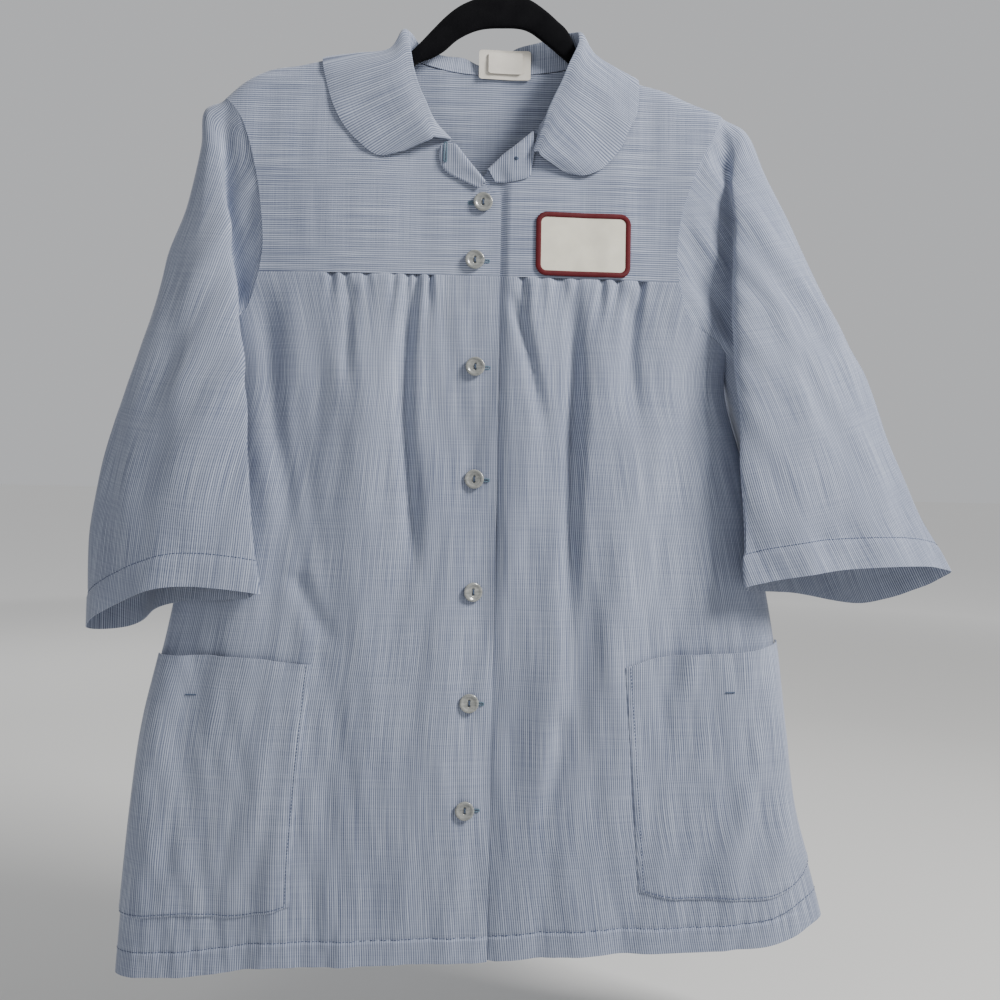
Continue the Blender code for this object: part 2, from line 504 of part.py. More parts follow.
def panel_grid(face, starts, ends, columns_x, fixed):
    """Angles and drops of a panel between two edges. Columns hold their angle in the fixed range
    and close up to the edges outside it."""
    angles = angle_at(np.array(columns_x, float), YOKE_DROP, face)
    drop = PANEL_DROPS[:, None] + 0 * angles[None, :]
    hang = ease((PANEL_DROPS[:, None] - HANG_START) / (HEM_DROP - HANG_START))
    first, last = angles[fixed[0]], angles[fixed[1]]
    for _ in range(4):
        angle = angles[None, :] + 0 * drop
        before = (angles[:fixed[0]] - angles[0]) / (first - angles[0]) if fixed[0] else np.empty(0)
        after = (angles[fixed[1]:] - last) / (angles[-1] - last)
        begin, end = starts(drop), ends(drop)
        angle[:, :fixed[0]] = begin[:, :fixed[0]] + (first - begin[:, :fixed[0]]) * before
        angle[:, fixed[1]:] = last + (end[:, fixed[1]:] - last) * after
        x = body(angle, drop)[..., 0]
        hem = smooth(x, HEM["x"], HEM["drop"])
        drop = PANEL_DROPS[:, None] + (hem - HEM_DROP) * hang
    return angle, drop


def side_edge(table, face, trim):
    """A function of drop: the armhole's angle, then below the underarm the side seam's."""
    side = np.sign(table["x"][0])
    seam = side * math.pi / 2 if face < 0 else (math.pi - side * math.pi / 2)
    inward = -side if face < 0 else side
    def edge(drop):
        x = armhole(table, drop, face) - side * SEAM / 2
        hole = angle_at(x, drop, face)
        return np.where(drop < table["drop"][-1], hole, seam + inward * trim)
    return edge


def front_panel(name, side, material):
    """One gathered front panel, from the placket edge to the armhole and the side seam."""
    right = side < 0
    hole = ARMHOLE_RIGHT if right else ARMHOLE_LEFT
    centre = LAP_EDGE if right else UNDERLAP
    gathers = {key: GATHERS[key][0 if right else 1] for key in GATHERS}
    steps = np.linspace(0, 1, int(gathers["count"]) * 3 + 1)
    pleats = gathers["start"] + (gathers["end"] - gathers["start"]) * steps
    far = armhole(hole, YOKE_DROP, -1)
    if right:
        near_x = np.append(LAP_COLUMNS[::-1], -38.0)
        far_x = np.linspace(gathers["start"], far, 8)[1:]
        order = np.concatenate([near_x, pleats[::-1], far_x])
    else:
        near_x = np.append(LAP_COLUMNS, [8.0, 11.0, 14.0, 21.0])
        far_x = np.linspace(gathers["end"], far, 7)[1:]
        order = np.concatenate([near_x, pleats, far_x])
    def placket(drop):
        return angle_at(centre + 0.0 * drop, drop, -1)
    outside = side_edge(hole, -1, SIDE_TRIM)
    fixed = (len(near_x), len(near_x) + len(pleats) - 1)
    angle, drop = panel_grid(-1, placket, outside, order, fixed)
    panel_wall(name, angle, drop, material, under=0.0 if right else 1.0)


def back_panel(material):
    """The gathered back panel, from side seam to side seam."""
    start, end, count = (GATHERS[key][2] for key in ("start", "end", "count"))
    pleats = np.linspace(start, end, int(count) * 3 + 1)
    low = armhole(ARMHOLE_RIGHT, YOKE_DROP, 1)
    high = armhole(ARMHOLE_LEFT, YOKE_DROP, 1)
    order = np.concatenate([np.linspace(low, start, 8)[:-1], pleats, np.linspace(end, high, 8)[1:]])
    left_edge = side_edge(ARMHOLE_LEFT, 1, SIDE_TRIM)
    right_edge = side_edge(ARMHOLE_RIGHT, 1, SIDE_TRIM)
    angle, drop = panel_grid(1, left_edge, right_edge, order[::-1], (7, 6 + len(pleats)))
    panel_wall("back_panel", angle, drop, material)


def through(lines, steps):
    """Centripetal Catmull-Rom curves along the second axis of lines, with steps points a span."""
    first = 2 * lines[:, :1] - lines[:, 1:2]
    last = 2 * lines[:, -1:] - lines[:, -2:-1]
    p = np.concatenate([first, lines, last], axis=1)
    gap = np.sqrt(np.maximum(np.linalg.norm(np.diff(p, axis=1), axis=-1), 0.05))
    pieces = []
    for k, count in enumerate(steps):
        a, b, c, d = (p[:, k + j, None] for j in range(4))
        g = [gap[:, k + j, None, None] for j in range(3)]
        t1, t2 = g[0], g[0] + g[1]
        t3 = t2 + g[2]
        t = t1 + (t2 - t1) * (np.arange(count) / count)[None, :, None]
        ab = (t1 - t) / t1 * a + t / t1 * b
        bc = (t2 - t) / (t2 - t1) * b + (t - t1) / (t2 - t1) * c
        cd = (t3 - t) / (t3 - t2) * c + (t - t2) / (t3 - t2) * d
        abc = (t2 - t) / t2 * ab + t / t2 * bc
        bcd = (t3 - t) / (t3 - t1) * bc + (t - t1) / (t3 - t1) * cd
        pieces.append((t2 - t) / (t2 - t1) * abc + (t - t1) / (t2 - t1) * bcd)
    pieces.append(lines[:, -1:])
    return np.concatenate(pieces, axis=1)


def on_armhole(hole, drop, face):
    """A point of the armhole seam, half a gap on the sleeve's side, and the body's normal there."""
    side = np.sign(hole["x"][0])
    x = armhole(hole, drop, face) + side * (SEAM / 2 + UNDERARM_EASE * (drop == hole["drop"][-1]))
    angle = angle_at(x, drop, face)
    def surface(a, d):
        return body(a, d * 100.0, folded=0.0)
    return body(angle, drop, 0.0), normals(surface, angle, drop / 100.0)


def sleeve(name, hole, table, material):
    """A set-in sleeve: sections from the head over the shoulder down to the open hem."""
    side = np.sign(hole["x"][0])
    t = table
    seam_f = np.stack([t["in_x"], t["in_y"], -t["seam_d"]], axis=-1)
    seam_b = seam_f + np.array([0.0, SEAM, 0.0])
    on = slice(0, ON_ARMHOLE)
    seam_f[on], face_f = on_armhole(hole, t["seam_d"][on], -1)
    seam_b[on], face_b = on_armhole(hole, t["seam_d"][on], 1)
    def line(name, share):
        drop = t["seam_d"] + (t["fold_d"] - t["seam_d"]) * share
        return np.stack([t[name + "_x"], t[name + "_y"], -drop], axis=-1)
    valley, fold = line("val", 0.7), line("fold", 1.0)
    cap = (seam_f * 0.45 + valley * 0.55)
    front = np.stack([t["front_x"], t["front_y"], -t["front_d"]], axis=-1)
    outer = np.stack([t["outer_x"], t["outer_y"], -t["outer_d"]], axis=-1)
    rear = np.stack([t["rear_x"], t["rear_y"], -t["rear_d"]], axis=-1)
    near_d = t["seam_d"] * 0.7 + t["rear_d"] * 0.3
    near = np.stack([t["near_x"], t["near_y"], -near_d], axis=-1)
    lines = np.stack([seam_f, cap, valley, fold, front, outer, rear, near, seam_b], axis=1)
    points = through(lines, SLEEVE_STEPS)
    count = points.shape[1]
    along = np.linspace(-1, 1, count)
    drop = HOLE_TOP + HEAD_DEPTH * along ** 2
    seam_x = np.where(along < 0, armhole(hole, drop, -1), armhole(hole, drop, 1)) + side * SEAM / 2
    over = -np.sign(along) * np.sqrt(np.maximum(drop - smooth(seam_x, RIDGE["x"], RIDGE["drop"]), 0))
    def ridge_top(x, o):
        return shoulder(x * 100.0, o)
    head = shoulder(seam_x, over)
    head_n = normals(ridge_top, seam_x / 100.0, over)
    points = np.concatenate([head[None], points])
    n = grid_normals(points)
    centre = points[-4:].mean(axis=(0, 1))
    n = n * np.sign((n[-4:] * (points[-4:] - centre)).sum())
    n[0] = head_n
    drops = t["seam_d"][on]
    level = np.clip((TURN_UNDER[1] - drops) / (TURN_UNDER[1] - TURN_UNDER[0]), 0, 1)[:, None]
    rows = slice(1, 1 + ON_ARMHOLE)
    for column, face_n in ((0, face_f), (-1, face_b)):
        mixed = n[rows, column] * (1 - level) + face_n * level
        n[rows, column] = mixed / np.linalg.norm(mixed, axis=-1, keepdims=True)
    low = slice(1 + ON_ARMHOLE, None)
    joined = n[low, 0] + n[low, -1]
    n[low, 0] = n[low, -1] = joined / np.linalg.norm(joined, axis=-1, keepdims=True)
    wall(name, points, points - n * WALL, material)


def neck_line(face, x, drop, under=0.0):
    """Points of the neck edge, the cloth's normals there and the way into the opening."""
    ridge = smooth(x, RIDGE["x"], RIDGE["drop"])
    over = -face * np.sqrt(np.maximum(drop - ridge, 0))
    def surface(a, b):
        return shoulder(a * 100.0, b, under)
    points = surface(x / 100.0, over)
    n = normals(surface, x / 100.0, over)
    along = np.gradient(points, axis=0)
    inward = np.cross(along, n)
    return points, n, inward / np.linalg.norm(inward, axis=-1, keepdims=True)


def even_slope(points, axis):
    """Directions along a grid that halve the corner at each point."""
    step = np.diff(points, axis=axis)
    step = step / np.linalg.norm(step, axis=-1, keepdims=True)
    ends = [np.take(step, [i], axis=axis) for i in (0, -1)]
    return np.concatenate([ends[0], step], axis=axis) + np.concatenate([step, ends[1]], axis=axis)


def turned_over(name, neck, n, inward, rise, lines, material):
    """A wall that starts at the neck seam in the direction rise and turns over through the lines."""
    facing = inward * (rise * n).sum(-1, keepdims=True) - n * (rise * inward).sum(-1, keepdims=True)
    start = neck + inward * NECK_SEAM + facing * COLLAR_WALL
    seen = np.stack([start] + [line(start) if callable(line) else line for line in lines], axis=1)
    m = np.cross(even_slope(seen, 1), even_slope(seen, 0))
    m = m / np.linalg.norm(m, axis=-1, keepdims=True)
    m = m * np.sign((m[:, 0] * facing).sum())
    m[:, 0] = facing
    wall(name, seen, seen - m * COLLAR_WALL, material)


def collar(material):
    """The round collar: stand, roll and fall in one piece."""
    t = COLLAR
    x = t["neck_x"].copy()
    drop = t["neck_drop"].copy()
    half = len(x) // 2
    listed = drop > 0
    right = listed & (np.arange(len(x)) < half)
    left = listed & ~right
    x[right] = smooth(drop[right], NECK_RIGHT["drop"], NECK_RIGHT["x"])
    x[left] = smooth(drop[left], NECK_LEFT["drop"], NECK_LEFT["x"])
    behind = t["face"] > 0
    drop[behind] = smooth(x[behind], NECK_BACK["x"], NECK_BACK["drop"])
    drop = np.maximum(drop, smooth(x, RIDGE["x"], RIDGE["drop"]))
    neck, n, inward = neck_line(t["face"], x, drop)
    up = np.where(behind, 1.0, 0.0)[:, None]
    rise = n * (1 - up) + np.array([0.0, 0.0, 1.0]) * up
    rise = rise - (rise * np.cross(n, inward)).sum(-1, keepdims=True) * np.cross(n, inward)
    rise = rise / np.linalg.norm(rise, axis=-1, keepdims=True)
    roll = np.stack([t["roll_x"], t["roll_y"], -t["roll_drop"]], axis=-1)
    edge = np.stack([t["edge_x"], t["edge_y"], -t["edge_drop"]], axis=-1)
    sag = np.stack([t["sag_x"], t["sag_y"], t["sag_z"]], axis=-1)
    near, far = COLLAR_SPANS
    def stand(start):
        return start + (roll - start) * STAND_SHARE + rise * 1.0
    fall = roll + (edge - roll) * near + sag
    level = (fall - roll) * np.array([1.0, 1.0, 0.0])
    crest = roll + level / np.linalg.norm(level, axis=-1, keepdims=True) * ROLL_WIDTH
    lines = [stand, roll, crest, fall, roll + (edge - roll) * far + sag / 2, edge]
    turned_over("collar", neck, n, inward, rise, lines, material)


def lapel(name, side, material):
    """The top corner of one front, folded back over its yoke."""
    right = side < 0
    t, neck_table = (LAPEL_RIGHT, NECK_RIGHT) if right else (LAPEL_LEFT, NECK_LEFT)
    drop = t["neck_drop"]
    x = smooth(drop, neck_table["drop"], neck_table["x"])
    under = 0.0 if right else 1.0
    neck, n, inward = neck_line(-1 + 0 * x, x, drop, under)
    def resting(share, lift):
        at_x = x + (t["edge_x"] - x) * share
        at_drop = drop + (t["edge_drop"] - drop) * share
        points = body(angle_at(at_x, at_drop, -1), at_drop, 0.0, under)
        return points + n * lift
    roll = neck + inward * LAPEL_LEAN + n * LAPEL_ROLL
    lines = [roll, resting(0.5, LAPEL_REST[0]), resting(1.0, LAPEL_REST[1])]
    turned_over(name, neck, n, inward, n, lines, material)


def pocket(name, side, material):
    """A patch pocket on one front panel, its mouth standing a little open."""
    right = side < 0
    t, inner = (POCKET_RIGHT, POCKET_INNER_RIGHT) if right else (POCKET_LEFT, POCKET_INNER_LEFT)
    share = np.linspace(0, 1, POCKET_COLUMNS)[None, :]
    down = POCKET_ROWS[:, None]
    top = smooth(share, t["share"], t["top"])
    bottom = smooth(share, t["low_share"], t["bottom"])
    drop = top + (bottom - top) * down
    start = angle_at(smooth(drop, inner["drop"], inner["x"]), drop, -1)
    angle = start + (side * POCKET_OUTER - start) * share
    open_by = POCKET_BULGE * np.sin(math.pi * share) ** 0.8 * np.maximum(1 - down, 0) ** 1.3
    panel_wall(name, angle, drop, material, lift=POCKET_LIFT + WALL + open_by,
               under=0.0 if right else 1.0)


def frame_at(x, drop):
    """A place on the upper front, with the directions across, down and out of the cloth."""
    def surface(a, d):
        return body(a, d * 100.0)
    angle = np.array(angle_at(x, drop, -1))
    point = body(angle, np.array(float(drop)))
    out = normals(surface, angle, np.array(drop / 100.0))
    across = np.cross(np.array([0.0, 0.0, 1.0]), out) * -1.0
    across = across / np.linalg.norm(across)
    return point, across, np.cross(across, out), out


def rings(name, loops, material, caps=True, collection=None):
    """A closed body from loops of points, capped at both ends or closed on itself."""
    count = len(loops[0])
    faces = []
    last = len(loops) - 1 if caps else len(loops)
    for r in range(last):
        low, high = r * count, (r + 1) % len(loops) * count
        for c in range(count):
            d = (c + 1) % count
            faces.append((low + c, low + d, high + d, high + c))
    if caps:
        faces.append(tuple(range(count))[::-1])
        faces.append(tuple(range(last * count, (last + 1) * count)))
    points = np.vstack(loops)
    corners = np.array([(f[0], f[i], f[i + 1]) for f in faces for i in range(1, len(f) - 1)])
    a, b, c = (points[corners[:, k]] - points.mean(axis=0) for k in range(3))
    if (a * np.cross(b, c)).sum() < 0:
        faces = [face[::-1] for face in faces]
    thing = add_mesh(name, points, faces, material)
    if collection:
        SMOCK.objects.unlink(thing)
        collection.objects.link(thing)
    return thing


def button(number, x, drop, material):
    """One dished button with two thread holes, lying on the front."""
    point, across, below, out = frame_at(x, drop)
    def loop(radius, height, centre, steps):
        turn = 2 * math.pi * np.arange(steps)[:, None] / steps
        return centre + radius * (np.cos(turn) * across - np.sin(turn) * below) + out * height
    base = point + out * BUTTON_REST
    profile = zip(BUTTON_PROFILE["radius"], BUTTON_PROFILE["height"])
    name = f"button_{number}"
    disc = rings(name, [loop(r, h, base, BUTTON_STEPS) for r, h in profile], material)
    for end, way in (("top", -1), ("bottom", 1)):
        centre = base + below * BUTTON_SPREAD * way
        cutter = rings(f"{name}_hole_{end}", [loop(BUTTON_HOLE, h, centre, HOLE_STEPS)
                                              for h in (-1.0, BUTTON_THICK + 1.0)],
                       material, collection=CUTTERS)
        cutter.hide_render = True
        cutter.display_type = "WIRE"
        cut = disc.modifiers.new(f"hole_{end}", "BOOLEAN")
        cut.operation = "DIFFERENCE"
        cut.solver = "EXACT"
        cut.object = cutter


def rounded(inset):
    """A rounded rectangle's points, across and down, at a distance inside the patch's outline."""
    half_w, half_h = PATCH_SIZE[0] / 2 - inset, PATCH_SIZE[1] / 2 - inset
    r = max(PATCH_CORNER - inset, 1.0)
    points = []
    for corner in range(4):
        turn = math.pi / 2 * (corner + np.arange(PATCH_ARC) / (PATCH_ARC - 1))
        sx = 1 if corner in (0, 3) else -1
        sy = 1 if corner in (0, 1) else -1
        points.append(np.stack([sx * (half_w - r) + r * np.cos(turn),
                                sy * (half_h - r) + r * np.sin(turn)], axis=-1))
    return np.vstack(points)


def on_yoke(flat, lift):
    """Points of the left yoke's outer face moved out, from places across and down the patch."""
    def surface(a, d):
        return body(a, d * 100.0, 0.0, 1.0)
    x, drop = PATCH_CENTRE[0] + flat[:, 0], PATCH_CENTRE[1] - flat[:, 1]
    angle = angle_at(x, drop, -1)
    return surface(angle, drop / 100.0) + normals(surface, angle, drop / 100.0) * lift


def patch(base_material, border_material):
    """The sewn patch: a plain field and the raised border round it."""
    inner = rounded(PATCH_BORDER + SEAM)
    field = [inner * f for f in FIELD_RINGS]
    top = [on_yoke(f, LAYER + PATCH_THICK) for f in field]
    under = [on_yoke(f, LAYER) for f in field[::-1]]
    rings("patch", top + under, base_material)
    edge = LAYER + BORDER_THICK * BORDER_EDGE
    sections = ((PATCH_BORDER, LAYER), (PATCH_BORDER, edge),
                (PATCH_BORDER * 0.5, LAYER + BORDER_THICK), (BORDER_SLOPE, edge), (0.0, LAYER))
    rings("patch_border", [on_yoke(rounded(inset), lift) for inset, lift in sections],
          border_material, caps=False)


def neck_label(material):
    """The label hanging inside the back of the neck."""
    x = np.linspace(*LABEL_X, 6)[None, :]
    drop = np.linspace(*LABEL_DROP, 4)[:, None]
    hang = np.full_like(drop, LABEL_DROP[1])
    x, drop, hang = np.broadcast_arrays(x, drop, hang)
    points = shoulder(x, -np.sqrt(hang - smooth(x, RIDGE["x"], RIDGE["drop"])))
    lean = (LABEL_DROP[1] - drop) / (LABEL_DROP[1] - LABEL_DROP[0]) * LABEL_LEAN
    face = np.stack([x, points[..., 1] - WALL - LABEL_GAP + lean, -drop], axis=-1)
    wall("neck_label", face, face - np.array([0.0, LABEL_THICK, 0.0]), material)


def hanger(material):
    """The flat hanger: an arch in the middle and two arms."""
    c, half = HANGER_CHAMFER, HANGER_HALF
    loops = []
    for x, top, bottom in zip(HANGER["x"], HANGER["top"], HANGER["bottom"]):
        trim = min(c, (bottom - top) / 4)
        corners = ((-half + c, top), (half - c, top), (half, top + trim), (half, bottom - trim),
                   (half - c, bottom), (-half + c, bottom), (-half, bottom - trim), (-half, top + trim))
        loops.append(np.array([(x, y, -drop) for y, drop in corners]))
    rings("hanger", loops, material)


def hook(material):
    """The wire hook: over the rail and down into the hanger's middle."""
    turn = np.radians(np.linspace(*HOOK_TURN, HOOK_STEPS))
    arc = np.stack([HOOK_RADIUS * np.cos(turn), HOOK_RADIUS * (np.sin(turn) - 1) + HOOK_WIRE], axis=-1)
    stem = np.stack([HOOK_STEM["x"], -HOOK_STEM["drop"]], axis=-1)
    line = np.vstack([arc, stem])
    ahead = np.gradient(line, axis=0)
    ahead = ahead / np.linalg.norm(ahead, axis=-1, keepdims=True)
    spin = 2 * math.pi * np.arange(HOOK_SIDES)[:, None] / HOOK_SIDES
    loops = []
    for place, way in zip(line, ahead):
        centre = np.array([place[0], 0.0, place[1]])
        side = np.array([-way[1], 0.0, way[0]])
        loops.append(centre + HOOK_WIRE * (np.cos(spin) * side + np.sin(spin) * np.array([0.0, 1.0, 0.0])))
    rings("hook", loops, material)


SMOCK = bpy.data.collections.new("smock")
CUTTERS = bpy.data.collections.new("cutters")


def main():
    """Build every piece."""
    clear_scene()
    bpy.context.scene.collection.children.link(SMOCK)
    bpy.context.scene.collection.children.link(CUTTERS)
    cloth = finish("chambray", (0.40, 0.47, 0.62), 0.85)
    front_yoke("front_yoke_right", -1, cloth)
    front_yoke("front_yoke_left", 1, cloth)
    back_yoke(cloth)
    front_panel("front_panel_right", -1, cloth)
    front_panel("front_panel_left", 1, cloth)
    back_panel(cloth)
    sleeve("sleeve_right", ARMHOLE_RIGHT, SLEEVE_RIGHT, cloth)
    sleeve("sleeve_left", ARMHOLE_LEFT, SLEEVE_LEFT, cloth)
    collar(cloth)
    lapel("lapel_right", -1, cloth)
    lapel("lapel_left", 1, cloth)
    pocket("pocket_right", -1, cloth)
    pocket("pocket_left", 1, cloth)
    pearl = finish("button_plastic", (0.62, 0.60, 0.56), 0.3)
    for number, (x, drop) in enumerate(zip(BUTTONS["x"], BUTTONS["drop"]), start=1):
        button(number, x, drop, pearl)
    patch(finish("patch_twill", (0.72, 0.68, 0.55), 0.85), finish("patch_thread", (0.25, 0.03, 0.04), 0.7))
    neck_label(finish("label_satin", (0.80, 0.80, 0.78), 0.6))
    hanger(finish("flocking", (0.012, 0.012, 0.014), 0.95))
    hook(finish("hook_wire", (0.62, 0.62, 0.63), 0.25, 1.0))


main()
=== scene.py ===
"""Visual model of a hip-length uniform smock on a slim flocked hanger.

Every piece is a surface of two parameters worked out on whole arrays: yokes, gathered panels,
set-in sleeves, a turned-over collar, patch pockets, dished buttons, a bordered patch, a neck label,
a flocked hanger and a wire hook. Lengths in the tables are millimetres. +X is the wearer's left, -Y
the front and +Z up. The origin is the hook's seat, and a `drop` is a distance below it.
"""
import logging
import math
from collections.abc import Callable
from dataclasses import dataclass
from enum import Enum

import bpy
import numpy as np
from mathutils import Matrix, Vector


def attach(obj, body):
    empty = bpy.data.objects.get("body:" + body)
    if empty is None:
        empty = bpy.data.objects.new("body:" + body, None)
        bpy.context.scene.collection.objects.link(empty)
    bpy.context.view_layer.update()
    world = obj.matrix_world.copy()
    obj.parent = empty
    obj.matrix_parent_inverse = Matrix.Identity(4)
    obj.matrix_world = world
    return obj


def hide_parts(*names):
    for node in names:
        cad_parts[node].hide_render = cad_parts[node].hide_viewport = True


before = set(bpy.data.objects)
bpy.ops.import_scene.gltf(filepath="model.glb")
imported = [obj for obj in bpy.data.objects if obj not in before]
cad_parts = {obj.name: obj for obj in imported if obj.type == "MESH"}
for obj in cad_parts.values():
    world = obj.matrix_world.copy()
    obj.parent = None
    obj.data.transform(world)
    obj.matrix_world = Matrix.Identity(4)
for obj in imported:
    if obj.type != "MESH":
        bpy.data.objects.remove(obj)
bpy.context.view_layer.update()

Array = np.ndarray
Table = dict[str, Array]
Colour = tuple[float, float, float]
Material = bpy.types.Material

LOG = logging.getLogger("smock")
MM = 0.001  # one millimetre in metres
BODY_NAME = "root"  # the body that everything rides on
CLOTH = 0.95  # thickness of the cloth
ANGLE_STEP = 0.004  # steps for the normals of a surface: along an angle or a root
LENGTH_STEP = 0.4  # and along a length
ROUNDS = 3  # how often places that depend on each other are worked out
UP = np.array([0.0, 0.0, 1.0])


class Face(Enum):
    """Which half of the garment a place is on."""

    FRONT = -1
    BACK = 1


class Side(Enum):
    """The wearer's right or left."""

    RIGHT = -1
    LEFT = 1

    @property
    def word(self) -> str:
        """The side's name in a piece's name."""
        return self.name.lower()

    @property
    def under(self) -> float:
        """1 on the front that lies beneath the other, else 0."""
        return 1.0 if self is Side.LEFT else 0.0


FRONT, BACK = Face
RIGHT, LEFT = Side


def columns(names: str, rows: list) -> Table:
    """A short table: a dict of arrays, one for each named column.

    Args:
        names: the columns' names, with spaces between them.
        rows: the rows, each with one number for each name.

    Returns:
        One array for each name.
    """
    return dict(zip(names.split(), np.array(rows, float).T))


def by_side(names: str, right: list, left: list) -> dict[Side, Table]:
    """The same table for the wearer's right and left."""
    return {RIGHT: columns(names, right), LEFT: columns(names, left)}


# The body's sides and depths at each drop. Above the underarm the sides run on past the armholes.
BODY = columns("drop low high front back middle", [
    (100, -330, 320, 8, 9, 0),
    (150, -312, 300, 12, 11, 0),
    (200, -290, 275, 19, 13, 0),
    (250, -262, 243, 24, 15, 0),
    (298, -243, 220, 27, 17, -1),
    (340, -229, 206, 29, 19, -3),
    (378, -222, 199, 31, 21, -5),
    (450, -237, 217, 33, 24, -6),
    (520, -252, 232, 35, 26, -7),
    (600, -268, 248, 37, 28, -8),
    (675, -286, 259, 38, 30, -8),
    (750, -296, 271, 39, 31, -9),
    (800, -301, 286, 39, 32, -9),
    (845, -305, 299, 38, 32, -9),
    (895, -309, 312, 37, 32, -9)])

# Top line of the shoulders, from the wearer's right to the left.
RIDGE = columns("x drop", [
    (-250, 182), (-225, 154), (-208, 139), (-191, 130), (-163, 124), (-143, 119), (-110, 113.5),
    (-77, 108), (0, 104), (70, 108), (80, 111.5), (95, 118), (119, 129), (139, 134), (164, 144),
    (191, 154), (206, 162), (225, 178)])

# Armhole seams at the front from the shoulder to the underarm, and how much wider the back stands.
ARMHOLES = by_side("drop x back", [
    (154, -225, 0), (156, -223, 0.3), (160, -219, 0.9), (166, -214, 1.8), (174, -209.3, 3.2),
    (184, -205.4, 5), (211, -198.1, 7.6), (246, -192.4, 9.2), (282, -190.7, 10), (298, -193.2, 9),
    (316, -198, 7), (345, -209, 4), (362, -215, 2), (377, -221.3, 0)], [
    (154, 191, 0), (156, 190.1, 0.5), (160, 188.5, 1.4), (166, 185.9, 2.8), (174, 182.5, 4.7),
    (184, 177.7, 7.4), (211, 165.9, 13.4), (246, 155.5, 18), (282, 153, 20), (298, 154.9, 19.4),
    (316, 159.1, 18), (345, 170, 14), (362, 180, 10), (377, 198.3, 0)])

# Neck edges of the two fronts, down to where they close.
NECKS = by_side("drop x", [
    (108, -77), (125, -74), (142, -69), (160, -60), (174, -50), (189, -36), (204, -24), (217, -13),
    (229, -4)], [
    (111, 79), (122, 72), (134, 62), (150, 50), (170, 38.5), (186, 22), (204, 1), (217, -12),
    (229, -27)])

# The neck edge at the back.
NECK_BACK = columns("x drop", [
    (-77, 108), (-66, 115), (-43, 121), (-14, 124), (29, 122), (44, 120), (64, 116), (79, 111)])

# Lower edge of the body.
HEM = columns("x drop", [
    (-309, 888), (-286, 886), (-243, 882), (-207, 876), (-182, 871.5), (-142, 870), (-93, 868),
    (-40, 866), (5, 865), (52, 861), (99, 859), (177, 859), (218, 858), (241, 856), (264, 851),
    (283, 843), (303, 836)])

# Sleeve sections from the head to the hem: drops of the seam, fold, front, outer and rear lines,
# then where each runs. The first rows start on the armhole, the last ones on the underarm seam.
SLEEVE_NAMES = ("seam_d fold_d front_d outer_d rear_d in_x in_y val_x val_y fold_x fold_y "
                "front_x front_y outer_x outer_y rear_x rear_y near_x near_y")

